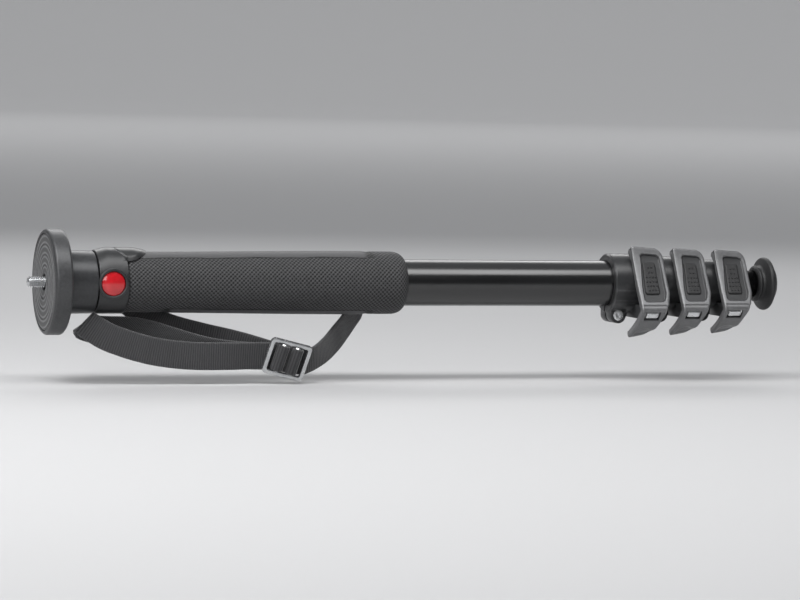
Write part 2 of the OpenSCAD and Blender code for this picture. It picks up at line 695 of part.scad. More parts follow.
module tension_nut(k) {
    color("#d9dbde") difference() {
        translate([window_x(k) - tension_nut_w / 2, -boss_front(k) - seat_gap - tension_nut_t,
            screw_z(k) - tension_nut_w / 2])
            cube([tension_nut_w, tension_nut_t, tension_nut_w]);
        bar_y(window_x(k), screw_z(k), -plate_d, plate_d, tension_screw_d / 2 + seat_gap);
    }
}

// Levers
module lever_face(k) {
    h = lever_ratio(k);
    top = h * lever_top[1];
    low = h * lever_tail[1];
    polygon([
        [0, low], [0, top],
        for (a = [90 : -15 : 0])
            [lever_w - lever_round * (1 - cos(a)), top - lever_top_fall - lever_round * (1 - sin(a))],
        [lever_w, h * lever_taper_from], [lever_waist_w, h * lever_taper_to],
        for (a = [0 : -15 : -90])
            [
                lever_tail_w - lever_tail_round * (1 - cos(a)),
                low + lever_tail_rise + lever_tail_round * (1 + sin(a))
            ]
    ]);
}
// Outline of the hollow between the cheeks, as wide as the lever's outline lets it be
module lever_room(k) {
    h = lever_ratio(k);
    polygon([
        [lever_cheek, -plate_d], [lever_cheek, plate_d], [lever_w - lever_cheek, plate_d],
        [lever_w - lever_cheek, h * lever_taper_from], [lever_waist_w - lever_cheek, h * lever_taper_to],
        [lever_waist_w - lever_cheek, -plate_d]
    ]);
}
module lever_window(k, gap) {
    translate([window_x(k) - window_w / 2 + gap, -plate_d, drop(k, window_drop) - window_h / 2 + gap])
        cube([window_w - 2 * gap, plate_d - boss_front(k), window_h - 2 * gap]);
}
module lever(k) {
    p = pivot(k);
    h = lever_ratio(k);
    color("#4a4d50") difference() {
        intersection() {
            section_x(lever_x0(k), lever_w) polygon(h * lever_section);
            translate([lever_x0(k), 0, 0]) rotate([90, 0, 0]) linear_extrude(plate_d) lever_face(k);
        }
        difference() {
            intersection() {
                section_x(lever_x0(k), lever_w) polygon(h * lever_hollow(lever_wall / h));
                translate([lever_x0(k), plate_d, 0]) rotate([90, 0, 0])
                    linear_extrude(2 * plate_d) lever_room(k);
            }
            // Hub beyond the collar's lug
            translate([lever_x0(k) + lever_cheek + lever_hub_x, -p[0], p[1]]) rotate([0, 90, 0])
                cylinder(h = lever_w, r = h * lever_hub_r);
        }
        // Open side behind the cheek's rim
        intersection() {
            section_x(lever_x0(k) - cut, lever_cheek + 2 * cut) polygon(h * lever_hollow(lever_rim / h));
            translate([lever_x0(k) - cut, -plate_d, h * lever_rim_from - plate_d])
                cube([lever_cheek + 2 * cut, 2 * plate_d, plate_d]);
        }
        // Room for the collar's lug
        translate([lever_x0(k) + lever_cheek, -p[0], p[1]]) rotate([0, 90, 0])
            cylinder(h = lever_hub_x, r = lug_r + loose_gap);
        lever_window(k, 0);
        translate([lever_x0(k) - cut, -p[0], p[1]]) rotate([0, 90, 0])
            cylinder(h = lever_pin_sink + lever_pin_len + pin_gap + cut, r = lever_pin_d / 2 + pin_gap);
        pad_slab(k, lever_pad_w + 2 * slide_gap, lever_pad_spare, -(lever_pad_t - lever_pad_proud), cut);
    }
}
module pad_slab(k, width, spare, from, to) {
    h = lever_ratio(k);
    a = lever_pad_from - spare;
    b = lever_pad_to + spare;
    function at(i) = a + (b - a) * i / curve_steps;
    section_x(lever_x0(k) + lever_pad_mid - width / 2, width) polygon([
        for (i = [0 : curve_steps]) h * front(at(i)) + to * front_normal(at(i)),
        for (i = [curve_steps : -1 : 0]) h * front(at(i)) + from * front_normal(at(i))
    ]);
}
module lever_pad(k) {
    color("#17181a")
        pad_slab(k, lever_pad_w, 0, -(lever_pad_t - lever_pad_proud) + seat_gap, lever_pad_proud);
}
// Steel plate behind the wall, with a face raised into the window
module window_plate(k) {
    h = lever_ratio(k);
    width = lever_waist_w - 2 * lever_cheek - 2 * seat_gap;
    back = lever_wall + seat_gap;
    module layer(from, to, t_from, t_to) {
        function at(i) = t_from + (t_to - t_from) * i / curve_steps;
        section_x(lever_x0(k) + lever_cheek + seat_gap, width) polygon([
            for (i = [0 : curve_steps]) h * underside(at(i)) - from * underside_normal(at(i)),
            for (i = [curve_steps : -1 : 0]) h * underside(at(i)) - to * underside_normal(at(i))
        ]);
    }
    color("silver") union() {
        layer(back, back + window_plate_t, window_plate_from, window_plate_to);
        intersection() {
            layer(window_depth, back + window_plate_t / 2, 0, window_face_to);
            lever_window(k, window_gap);
        }
    }
}

// Foot
module foot_plug() {
    plug_r = tube_d[3] / 2 - tube_wall - seat_gap;
    color("#3a3a3a") pipe_x(tube_4_end - plug_len, plug_len, plug_r, plug_r - plug_wall);
}
module rubber_foot() {
    sleeve_r = tube_d[3] / 2 + seat_gap;
    neck_r = sleeve_r + foot_sleeve_t;
    rim_r = foot_d / 2;
    function at(part) = foot_x + part * foot_len;
    color("#141414") spun_x([
        [sleeve_r, foot_x], [neck_r, foot_x],
        [neck_r + foot_bead, at(0.09)], [neck_r + foot_bead, at(0.17)],
        [neck_r + foot_bead / 4, at(0.23)], [neck_r + foot_bead, at(0.36)],
        [rim_r - foot_rim_w / 2, at(0.46)],
        for (a = [60 : -30 : -60])
            [rim_r - foot_rim_w / 2 * (1 - cos(a)), at(0.6) - foot_rim_w / 2 * sin(a)],
        [rim_r - foot_rim_w, at(0.79)], [rim_r - 2 * foot_rim_w, foot_end], [0, foot_end],
        [0, foot_end - foot_floor_t], [sleeve_r, foot_end - foot_floor_t]
    ]);
}

// Wrist strap: a flat band swept along a run's points, its width square to the run
function unit(v) = v / norm(v);
function run_way(run, i) = unit(run[min(i + 1, len(run) - 1)] - run[max(i - 1, 0)]);
function run_across(run, i, slant, tip) =
    let (
        way = run_way(run, i),
        a = lookup(i, slant),
        b = lookup(i, tip),
        up = [sin(a) * cos(b), -sin(b), cos(a) * cos(b)]
    )
    unit(up - (up * way) * way);
function band_ring(run, i, slant, tip) =
    let (
        across = run_across(run, i, slant, tip),
        wide = across * strap_w / 2,
        thick = unit(cross(run_way(run, i), across)) * strap_t / 2
    )
    [run[i] - wide - thick, run[i] + wide - thick, run[i] + wide + thick, run[i] - wide + thick];
module band(run, slant, tip) {
    last = 4 * (len(run) - 1);
    polyhedron(
        points = [for (i = [0 : len(run) - 1]) for (p = band_ring(run, i, slant, tip)) p],
        faces = [
            [0, 1, 2], [0, 2, 3],
            [last + 2, last + 1, last], [last + 3, last + 2, last],
            for (i = [0 : len(run) - 2]) for (j = [0 : 3])
                each [
                    [4 * i + j, 4 * i + 4 + j, 4 * i + (j + 1) % 4],
                    [4 * i + (j + 1) % 4, 4 * i + 4 + j, 4 * i + 4 + (j + 1) % 4]
                ]
        ]
    );
}
module strap_front() {
    color("#151515") band(front_run, front_slant, front_tip);
}
module strap_rear() {
    color("#151515") band(rear_run, rear_slant, rear_tip);
}
module strap_return() {
    color("#151515") band(return_run, return_slant, return_tip);
}
module at_buckle() {
    translate(buckle_at) rotate([buckle_tip, buckle_lean, 0]) children();
}
module buckle_frame() {
    color("#8a8d91") at_buckle() difference() {
        cube([buckle_len, buckle_t, buckle_w], center = true);
        cube([buckle_len - 2 * buckle_rail, buckle_t + cut, buckle_w - 2 * buckle_rail], center = true);
    }
}
module at_bars() {
    at_buckle() for (side = [-1, 1]) translate([side * bar_half_gap, 0, 0]) children();
}
module buckle_bars() {
    color("#8a8d91") at_bars()
        cylinder(h = buckle_w - 2 * buckle_rail - 2 * seat_gap, r = buckle_bar_d / 2, center = true);
}
module strap_bar_wraps() {
    inner_r = buckle_bar_d / 2 + strap_bar_gap;
    color("#151515") at_bars() difference() {
        cylinder(h = strap_w - loose_gap, r = inner_r + strap_t, center = true);
        cylinder(h = strap_w + cut, r = inner_r, center = true);
    }
}

camera_screw();
top_plate();
plate_pad();
plate_screws();
head_neck();
stud_grub_screw();
grip_collar();
red_badge();
strap_anchor_pin();
grip_sleeve();
section_1_tube();
for (k = [1, 2, 3]) {
    inner_tube(k);
    top_bush(k);
}
for (k = LOCKS) {
    lock_collar(k);
    lock_sleeve(k);
    fixing_screw(k);
    fixing_nut(k);
    lever_pin(k);
    tension_screw(k);
    tension_nut(k);
    lever(k);
    lever_pad(k);
    window_plate(k);
}
foot_plug();
rubber_foot();
strap_front();
strap_rear();
strap_return();
strap_bar_wraps();
buckle_frame();
buckle_bars();
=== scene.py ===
import bpy
import bmesh
import math
from mathutils import Matrix, Vector


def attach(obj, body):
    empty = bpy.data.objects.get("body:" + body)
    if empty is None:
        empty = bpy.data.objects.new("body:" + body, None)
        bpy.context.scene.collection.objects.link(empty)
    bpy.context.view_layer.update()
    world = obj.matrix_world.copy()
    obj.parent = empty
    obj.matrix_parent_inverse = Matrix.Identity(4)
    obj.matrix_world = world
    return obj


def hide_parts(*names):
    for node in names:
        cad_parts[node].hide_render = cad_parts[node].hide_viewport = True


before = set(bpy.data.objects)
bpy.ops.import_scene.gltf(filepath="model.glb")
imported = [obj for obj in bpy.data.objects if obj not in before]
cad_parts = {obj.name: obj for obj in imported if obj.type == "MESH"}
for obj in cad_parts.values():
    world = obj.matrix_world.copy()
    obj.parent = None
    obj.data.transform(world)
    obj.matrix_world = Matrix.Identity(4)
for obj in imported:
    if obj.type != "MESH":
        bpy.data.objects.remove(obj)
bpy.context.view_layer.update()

MM = 0.001
TAU = math.tau
WELD = 1e-7                             # metres
STRAP_W, STRAP_T = 16.0, 1.6            # webbing, mm

# ---- camera at the photo's angle: degrees, metres, and millimetres for lens and sensor ----
CAM_AZ, CAM_EL, CAM_ROLL = -19.3, 3.5, 1.27
CAM_AIM = Vector((0.2129, 0, -0.0101))
CAM_DIST, CAM_CLIP = 2.1, (0.05, 60)
CAM_LENS, CAM_SENSOR = 162, 36


def make_camera():
    az, el = math.radians(CAM_AZ), math.radians(CAM_EL)
    out = Vector((math.sin(az) * math.cos(el), -math.cos(az) * math.cos(el), math.sin(el)))
    data = bpy.data.cameras.new("camera")
    data.sensor_fit = "HORIZONTAL"
    data.sensor_width = CAM_SENSOR
    data.lens = CAM_LENS
    data.clip_start, data.clip_end = CAM_CLIP
    cam = bpy.data.objects.new("camera", data)
    bpy.context.collection.objects.link(cam)
    turn = (-out).to_track_quat("-Z", "Y").to_matrix().to_4x4()
    roll = Matrix.Rotation(math.radians(CAM_ROLL), 4, "Z")
    cam.matrix_world = Matrix.Translation(CAM_AIM + out * CAM_DIST) @ turn @ roll
    bpy.context.scene.camera = cam


make_camera()


# ---- materials: noise scales per metre, depths in metres ----
SURFACE_DETAIL, GRAIN_DETAIL, GRAIN_DEPTH = 5, 2, 0.00012
NOISE_ROUGH, COAT_ROUGH = 0.55, 0.08
# the edge value range lightens edges: part wear, part painted highlight
MIDDLE, WORN_AND_GLINT = (0.3, 0.7), (0.53, 0.62)         # parts of the noise and of the edge value that are used
GRIP_ROUND, GRIP_CELLS, GRIP_PITCH = 110.0, 45, 2.5
KNIT_LOW, KNIT_HIGH, KNIT_DEEP = -0.55, 0.35, 0.22
RIB_PITCH, TWILL_PITCH, YARN_PITCH = 1.35, 1.15, 0.7


def start_material(name):
    m = bpy.data.materials.new(name)
    m.use_nodes = True
    nt = m.node_tree
    return m, nt, nt.nodes["Principled BSDF"]


def add(nt, kind, **values):
    n = nt.nodes.new("ShaderNode" + kind)
    for k, v in values.items():
        setattr(n, k, v)
    return n


def calc(nt, op, a, b=None):
    n = add(nt, "Math", operation=op)
    for i, v in enumerate((a, b)):
        if v is None:
            continue
        if isinstance(v, (int, float)):
            n.inputs[i].default_value = v
        else:
            nt.links.new(v, n.inputs[i])
    return n.outputs[0]


def noise(nt, scale, detail=4, stretch=(1, 1, 1)):
    tc = add(nt, "TexCoord")
    mp = add(nt, "Mapping")
    mp.inputs["Scale"].default_value = stretch
    nt.links.new(tc.outputs["Object"], mp.inputs["Vector"])
    nz = add(nt, "TexNoise")
    nz.inputs["Scale"].default_value = scale
    nz.inputs["Detail"].default_value = detail
    nz.inputs["Roughness"].default_value = NOISE_ROUGH
    nt.links.new(mp.outputs["Vector"], nz.inputs["Vector"])
    return nz.outputs["Fac"]


def ramp(nt, fac, low, high, at=MIDDLE):
    r = add(nt, "ValToRGB")
    r.color_ramp.elements[0].position = at[0]
    r.color_ramp.elements[0].color = (*low, 1)
    r.color_ramp.elements[1].position = at[1]
    r.color_ramp.elements[1].color = (*high, 1)
    nt.links.new(fac, r.inputs["Fac"])
    return r.outputs["Color"]


def mix(nt, fac, a, b):
    m = add(nt, "Mix", data_type="RGBA")
    nt.links.new(fac, m.inputs["Factor"])
    for v, s in ((a, m.inputs[6]), (b, m.inputs[7])):
        if isinstance(v, tuple):
            s.default_value = (*v, 1)
        else:
            nt.links.new(v, s)
    return m.outputs[2]


def spread(nt, fac, low, high, at=MIDDLE):
    r = add(nt, "MapRange")
    r.inputs["From Min"].default_value, r.inputs["From Max"].default_value = at
    r.inputs["To Min"].default_value, r.inputs["To Max"].default_value = low, high
    nt.links.new(fac, r.inputs["Value"])
    return r.outputs["Result"]


def times(nt, a, b):
    return calc(nt, "MULTIPLY", a, b)


def ridges(nt, way, pitch):
    return calc(nt, "ABSOLUTE", calc(nt, "SINE", times(nt, way, math.pi / pitch)))


def uv_parts(nt):
    """Place on the surface in millimetres: across or around, and along."""
    sep = add(nt, "SeparateXYZ")
    nt.links.new(add(nt, "UVMap", uv_map="UVMap").outputs["UV"], sep.inputs[0])
    return sep.outputs["X"], sep.outputs["Y"]


def point_mark(nt, name):
    return add(nt, "Attribute", attribute_name=name).outputs["Fac"]


def bump(nt, bsdf, height, strength, depth):
    b = add(nt, "Bump")
    b.inputs["Strength"].default_value = strength
    b.inputs["Distance"].default_value = depth
    nt.links.new(height, b.inputs["Height"])
    nt.links.new(b.outputs["Normal"], bsdf.inputs["Normal"])


def surface(name, low, high, scale, rough, grain=0.0, grain_scale=2500, metal=0.0, coat=0.0, spec=0.5,
            vary=0.06, stretch=(1, 1, 1), wear_and_glint=None, painted_shade_or_highlight=None):
    """Painted, moulded or metal surface: mottled colour and roughness, fine grain, edges lightened as part
    wear and part painted highlight, and marked points given a set colour that paints shade or highlight.
    """
    m, nt, b = start_material(name)
    fac = noise(nt, scale, SURFACE_DETAIL, stretch)
    colour = ramp(nt, fac, low, high)
    # edges lightened by their pointiness: part wear, part painted highlight
    if wear_and_glint:
        geo = add(nt, "NewGeometry")
        edge = spread(nt, geo.outputs["Pointiness"], 0, 1, WORN_AND_GLINT)
        colour = mix(nt, times(nt, edge, fac), colour, wear_and_glint)
    # marked points take a set colour: painted shade where recessed, painted highlight on lips
    if painted_shade_or_highlight:
        colour = mix(nt, point_mark(nt, "inset"), colour, painted_shade_or_highlight)
    nt.links.new(colour, b.inputs["Base Color"])
    nt.links.new(spread(nt, fac, rough - vary, rough + vary), b.inputs["Roughness"])
    b.inputs["Metallic"].default_value = metal
    b.inputs["Specular IOR Level"].default_value = spec
    b.inputs["Coat Weight"].default_value = coat
    b.inputs["Coat Roughness"].default_value = COAT_ROUGH
    if grain:
        bump(nt, b, noise(nt, grain_scale, GRAIN_DETAIL, stretch), grain, GRAIN_DEPTH)
    return m


def grip_surface():
    """Rubber with a fine raised mesh where the panel value is 1, smooth elsewhere, a dark line between;
    painted shade darkens the mesh's holes.
    """
    m, nt, b = start_material("grip_rubber")
    u, v = uv_parts(nt)
    panel = point_mark(nt, "panel")
    around = calc(nt, "COSINE", times(nt, u, TAU * GRIP_CELLS / GRIP_ROUND))
    along = calc(nt, "COSINE", times(nt, v, TAU / GRIP_PITCH))
    weave = times(nt, around, along)
    fine = noise(nt, 900)
    knit = spread(nt, weave, 0, 1, (KNIT_LOW, KNIT_HIGH))
    hole = times(nt, calc(nt, "SUBTRACT", 1.0, knit), panel)
    seam = spread(nt, calc(nt, "ABSOLUTE", calc(nt, "SUBTRACT", panel, 0.5)), 1, 0, (0.2, 0.48))
    colour = ramp(nt, fine, (0.055, 0.055, 0.057), (0.08, 0.08, 0.083))
    # the mesh's holes near black: painted shade
    colour = mix(nt, hole, colour, (0.002, 0.002, 0.0024))
    nt.links.new(mix(nt, seam, colour, (0.006, 0.006, 0.0065)), b.inputs["Base Color"])
    nt.links.new(spread(nt, fine, 0.5, 0.66), b.inputs["Roughness"])
    b.inputs["Specular IOR Level"].default_value = 0.42
    height = calc(nt, "ADD", times(nt, knit, panel), times(nt, fine, 0.12))
    bump(nt, b, height, 0.5, 0.0006)
    return m


def webbing_surface():
    """Woven nylon: cross ribs on the face, twill on the back, denser edges, and painted shade darkening the
    weave's grooves.
    """
    m, nt, b = start_material("webbing")
    across, along = uv_parts(nt)
    back = point_mark(nt, "back")
    slant = calc(nt, "ADD", times(nt, along, 0.8), times(nt, across, 0.95))
    rib, yarn = ridges(nt, along, RIB_PITCH), ridges(nt, across, YARN_PITCH)
    twill = ridges(nt, slant, TWILL_PITCH)
    face = calc(nt, "ADD", times(nt, rib, 0.75), times(nt, yarn, 0.25))
    face = times(nt, face, calc(nt, "SUBTRACT", 1.0, back))
    both = calc(nt, "ADD", face, times(nt, twill, back))
    fuzz = noise(nt, 1800, SURFACE_DETAIL)
    height = calc(nt, "ADD", both, times(nt, fuzz, 0.35))
    off = calc(nt, "ABSOLUTE", calc(nt, "SUBTRACT", across, STRAP_W / 2))
    edge = spread(nt, off, 0, 1, (7.0, 7.8))
    # colour by height: darker where the weave is lower, painted shade in its grooves, with random yarn tone
    # from the fuzz
    colour = ramp(nt, height, (0.007, 0.007, 0.0075), (0.06, 0.06, 0.063), (0.15, 1.05))
    nt.links.new(mix(nt, times(nt, edge, 0.55), colour, (0.1, 0.1, 0.103)), b.inputs["Base Color"])
    nt.links.new(spread(nt, fuzz, 0.62, 0.82), b.inputs["Roughness"])
    b.inputs["Sheen Weight"].default_value = 0.35
    b.inputs["Sheen Roughness"].default_value = 0.4
    b.inputs["Specular IOR Level"].default_value = 0.35
    bump(nt, b, height, 0.8, 0.0003)
    return m


PLATE = surface("plate_paint", (0.05, 0.051, 0.053), (0.07, 0.071, 0.074), 700, 0.38, 0.18, 3500, 0.3)
NECK = surface("neck_paint", (0.036, 0.037, 0.039), (0.05, 0.051, 0.054), 500, 0.34, 0.12, 3500, 0.3)
TUBE = surface("tube_lacquer", (0.003, 0.003, 0.0032), (0.0055, 0.0055, 0.006), 90, 0.21, 0.02, 1800,
               spec=1.0, vary=0.03, stretch=(0.15, 1, 1))
# moulded black: edges lightened, part wear, part painted highlight
MOULD = surface("moulded_black", (0.02, 0.0205, 0.0215), (0.027, 0.0275, 0.029), 600, 0.33, 0.05, 3200,
                vary=0.03, wear_and_glint=(0.1, 0.1, 0.103))
# lever paint: marked panel floor and shell inside take a darker colour, painted shade
LEVER = surface("lever_paint", (0.15, 0.151, 0.154), (0.18, 0.181, 0.185), 520, 0.32, 0.04, 3000, 0.35,
                vary=0.03, painted_shade_or_highlight=(0.03, 0.0305, 0.032))
RUBBER = surface("rubber_black", (0.014, 0.014, 0.015), (0.024, 0.024, 0.025), 800, 0.5, 0.3, 2600, spec=0.45)
# pad rubber: marked groove lips take a paler colour, painted highlight
PAD = surface("plate_rubber", (0.055, 0.0555, 0.057), (0.075, 0.0755, 0.077), 900, 0.46, 0.3, 2600, spec=0.45,
              painted_shade_or_highlight=(0.2, 0.201, 0.204))
STEEL = surface("steel", (0.66, 0.67, 0.68), (0.8, 0.81, 0.82), 160, 0.26, 0.03, 2500, 0.6,
                vary=0.05, stretch=(0.3, 1, 1))
# buckle metal: edges lightened, part wear, part painted highlight
CAST = surface("buckle_metal", (0.5, 0.51, 0.52), (0.66, 0.67, 0.68), 260, 0.22, 0.06, 2500, 0.9,
               vary=0.07, wear_and_glint=(0.9, 0.9, 0.9))
RED = surface("badge_red", (0.42, 0.004, 0.009), (0.58, 0.008, 0.015), 160, 0.16, coat=1.0, vary=0.03)
PALE = surface("bush_plastic", (0.5, 0.5, 0.47), (0.6, 0.6, 0.57), 400, 0.5, 0.2, 2500)
GRIP = grip_surface()
WEBBING = webbing_surface()


# ---- mesh helpers: sizes in millimetres ----
def smoothstep(a, b, x):
    t = min(1.0, max(0.0, (x - a) / (b - a)))
    return t * t * (3 - 2 * t)


def make(name, verts, faces, material, body, nodes=(), slot=None, sharp=35, inset=()):
    """A piece from points in millimetres, welded, with outward faces; edges over the sharp angle stay hard.

    inset gives the first points a value for the material's painted light: painted shade where recessed,
    painted highlight on a lip."""
    bm = bmesh.new()
    layer = bm.verts.layers.float.new("inset")
    for i, v in enumerate(verts):
        bm.verts.new((v[0] * MM, v[1] * MM, v[2] * MM))[layer] = inset[i] if i < len(inset) else 0.0
    bm.verts.ensure_lookup_table()
    for f in faces:
        if len(set(f)) >= 3:
            try:
                bm.faces.new([bm.verts[i] for i in f])
            except ValueError:
                pass
    bmesh.ops.remove_doubles(bm, verts=bm.verts, dist=WELD)
    bmesh.ops.dissolve_degenerate(bm, edges=bm.edges, dist=WELD)
    bmesh.ops.recalc_face_normals(bm, faces=bm.faces)
    return settle(name, bm, material, body, nodes, sharp)


def settle(name, bm, material, body, nodes=(), sharp=35):
    for f in bm.faces:
        f.smooth = True
    for e in bm.edges:
        if len(e.link_faces) != 2 or e.calc_face_angle(0) > math.radians(sharp):
            e.smooth = False
    mesh = bpy.data.meshes.new(name)
    bm.to_mesh(mesh)
    bm.free()
    mesh.materials.append(material)
    ob = bpy.data.objects.new(name, mesh)
    bpy.context.collection.objects.link(ob)
    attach(ob, body)
    if nodes:
        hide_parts(*nodes)
    return ob


def curve(a, pull, b, t):
    return tuple((1 - t) ** 2 * a[i] + 2 * t * (1 - t) * pull[i] + t * t * b[i] for i in (0, 1))


def fillet(points, radii, steps=5):
    """A closed outline with its corners rounded; radii is one number or one per corner."""
    out = []
    n = len(points)
    for i, p in enumerate(points):
        r = radii if isinstance(radii, (int, float)) else radii[i]
        a, b = points[i - 1], points[(i + 1) % n]
        da = math.hypot(a[0] - p[0], a[1] - p[1])
        db = math.hypot(b[0] - p[0], b[1] - p[1])
        r = min(r, 0.49 * da, 0.49 * db)
        if r < 1e-4:
            out.append(p)
            continue
        s = (p[0] + (a[0] - p[0]) * r / da, p[1] + (a[1] - p[1]) * r / da)
        e = (p[0] + (b[0] - p[0]) * r / db, p[1] + (b[1] - p[1]) * r / db)
        out += [curve(s, p, e, k / steps) for k in range(steps + 1)]
    return out


def grid_faces(rows, cols, base=0, wrap_rows=False, wrap_cols=False):
    faces = []
    for i in range(rows if wrap_rows else rows - 1):
        for j in range(cols if wrap_cols else cols - 1):
            i2, j2 = (i + 1) % rows, (j + 1) % cols
            a, b = base + i * cols, base + i2 * cols
            faces.append((a + j, a + j2, b + j2, b + j))
    return faces


def ring_points(x, r, n):
    return [(x, -r * math.sin(TAU * j / n), r * math.cos(TAU * j / n)) for j in range(n)]


def closing_faces(rows, cols):
    """Faces from a turned grid over two more rings, one behind its last row and one behind its first."""
    top, end = (rows - 1) * cols, rows * cols
    faces = []
    for j in range(cols):
        k = (j + 1) % cols
        faces += [(top + j, top + k, end + k, end + j), (end + j, end + k, end + cols + k, end + cols + j),
                  (end + cols + j, end + cols + k, k, j)]
    return faces


def spin_x(profile, n=128):
    """Points and faces of a closed (x, r) outline turned round the tube axis."""
    verts = []
    for i in range(n):
        a = TAU * i / n
        verts += [(x, -r * math.sin(a), r * math.cos(a)) for x, r in profile]
    return verts, grid_faces(n, len(profile), 0, True, True)


def spin_y(profile, centre, n=72):
    """The same for a (depth along -Y, r) outline round an axis through centre."""
    verts = []
    x, y, z = centre
    for i in range(n):
        a = TAU * i / n
        verts += [(x + r * math.cos(a), y - d, z + r * math.sin(a)) for d, r in profile]
    return verts, grid_faces(n, len(profile), 0, True, True)


def merge(*parts):
    verts, faces = [], []
    for v, f in parts:
        base = len(verts)
        verts += v
        faces += [tuple(i + base for i in q) for q in f]
    return verts, faces


def offset_outline(points, d):
    """A closed outline moved inwards by d; the side is found from the outline's area."""
    n = len(points)
    area = sum(points[i - 1][0] * points[i][1] - points[i][0] * points[i - 1][1] for i in range(n))
    sign = 1 if area > 0 else -1
    out = []
    for i, p in enumerate(points):
        a, b = points[i - 1], points[(i + 1) % n]
        t = (b[0] - a[0], b[1] - a[1])
        l = math.hypot(*t) or 1
        out.append((p[0] - sign * d * t[1] / l, p[1] + sign * d * t[0] / l))
    return out


def woven(name, verts, faces, mark, values, uv_of, material, nodes, sharp):
    """A piece from points in metres with a marked value per point and surface places in millimetres."""
    mesh = bpy.data.meshes.new(name)
    mesh.from_pydata(verts, [], faces)
    mesh.attributes.new(mark, "FLOAT", "POINT").data.foreach_set("value", values)
    layer = mesh.uv_layers.new(name="UVMap")
    for poly in mesh.polygons:
        spots = [mesh.loops[i].vertex_index for i in poly.loop_indices]
        for i, uv in zip(poly.loop_indices, uv_of(spots)):
            layer.data[i].uv = uv
    bm = bmesh.new()
    bm.from_mesh(mesh)
    bmesh.ops.recalc_face_normals(bm, faces=bm.faces)
    bpy.data.meshes.remove(mesh)
    return settle(name, bm, material, "upper", nodes, sharp)


def capped(rows, cols):
    """Faces of a closed grid with an end face on its first and on its last row."""
    ends = [tuple(range(cols)), tuple(range((rows - 1) * cols, rows * cols))]
    return grid_faces(rows, cols, 0, False, True) + ends


def slab(outline, low, high, edge):
    """Points (station, u, v) and faces of a flat piece with bevelled rims over an outline of (u, v)."""
    inner = offset_outline(outline, edge)
    verts = []
    for at, ring in ((low, inner), (low + edge, outline), (high - edge, outline), (high, inner)):
        verts += [(at, u, v) for u, v in ring]
    return verts, capped(4, len(outline))


def slab_x(outline, x0, span, edge):
    """A flat piece across the tube axis from an outline of (front distance, height)."""
    verts, faces = slab(outline, x0 + span[0], x0 + span[1], edge)
    return [(x, -u, z) for x, u, z in verts], faces


def walls(rows, cols, width, gap):
    """Faces between two layers of points along the edges of a block of rows and columns."""
    pairs = [(i * width + j, (i + 1) * width + j) for j in cols for i in range(*rows)]
    pairs += [(i * width + j, i * width + j + 1) for i in rows for j in range(*cols)]
    return [(a, b, gap + b, gap + a) for a, b in pairs]


def on_arc(centre, r, degrees):
    x, z = centre
    return [(x + r * math.cos(math.radians(a)), z + r * math.sin(math.radians(a))) for a in degrees]


# ---- camera plate, pad and screw: profiles are lists of (x, radius) ----
PAD_R0, PAD_R1, PAD_BACK = 4.7, 27.3, 1.55
GROOVE_FROM, GROOVE_PITCH, GROOVE_DEEP = 9.4, 5.9, 0.55
THREAD_TIP, THREAD_END, THREAD_PITCH = -9.5, 0.6, 1.27
THREAD_MINOR, THREAD_MAJOR = 2.4, 3.175
LEAD_R, LEAD_SLOPE = 2.1, 1.15                  # rounded start of the thread


def build_plate():
    outline = [(0, 27.6), (0, 28.8), (1.2, 30), (9.0, 30), (10.2, 28.8), (10.2, 3.4), (1.75, 3.4),
               (1.75, 27.6)]
    profile = fillet(outline, [0.15, 0.6, 0.7, 0.7, 0.7, 0.2, 0.1, 0.1], 4)
    make("top_plate_shell", *spin_x(profile, 192), PLATE, "upper", ["top_plate"], "plate_grey")


def build_pad():
    rows, cols = 96, 216
    r0, r1, pitch = PAD_R0, PAD_R1, GROOVE_PITCH
    verts, lip_highlight = [], []
    for i in range(rows):
        r = r0 + (r1 - r0) * i / (rows - 1)
        for j in range(cols):
            a = TAU * j / cols
            phase = (r - GROOVE_FROM) / pitch - a / math.pi
            off = abs((phase - math.floor(phase + 0.5)) * pitch)
            inside = smoothstep(r0 + 0.5, r0 + 1.6, r) * smoothstep(r1 - 0.4, r1 - 1.5, r)
            deep = GROOVE_DEEP * (1 - smoothstep(0.35, 0.75, off)) * inside
            # lips beside each groove marked for a paler colour: painted highlight
            lip_highlight.append(smoothstep(0.55, 0.8, off) * (1 - smoothstep(1.4, 2.1, off)) * inside)
            deep += 0.35 * (1 - smoothstep(r1, r1 - 0.6, r)) + 0.25 * (1 - smoothstep(r0, r0 + 0.5, r))
            verts.append((deep, -r * math.sin(a), r * math.cos(a)))
    verts += ring_points(PAD_BACK, r1, cols) + ring_points(PAD_BACK, r0, cols)
    faces = grid_faces(rows, cols, 0, False, True) + closing_faces(rows, cols)
    make("plate_pad_rings", verts, faces, PAD, "upper", ["plate_pad"], "rubber_black", 60, lip_highlight)


def build_stud():
    rows, seg = 96, 48
    verts = []
    for i in range(rows):
        x = THREAD_TIP + (THREAD_END - THREAD_TIP) * i / (rows - 1)
        for j in range(seg):
            a = TAU * j / seg
            t = (x / THREAD_PITCH - j / seg) % 1.0
            tooth = smoothstep(0.08, 0.42, t) - smoothstep(0.58, 0.92, t)
            r = THREAD_MINOR + (THREAD_MAJOR - THREAD_MINOR) * tooth
            r = min(r, LEAD_R + LEAD_SLOPE * (x - THREAD_TIP), THREAD_MAJOR)
            verts.append((x, -r * math.sin(a), r * math.cos(a)))
    thread = (verts, capped(rows, seg))
    outline = [(0.3, 0), (0.3, 2.9), (7.7, 2.9), (7.7, 7), (10.15, 7), (10.15, 4.75), (18.2, 4.75), (18.2, 0)]
    shank = spin_x(fillet(outline, 0.15, 3), seg)
    make("camera_screw_thread", *merge(thread, shank), CAST, "upper", ["camera_screw"], "steel", 50)


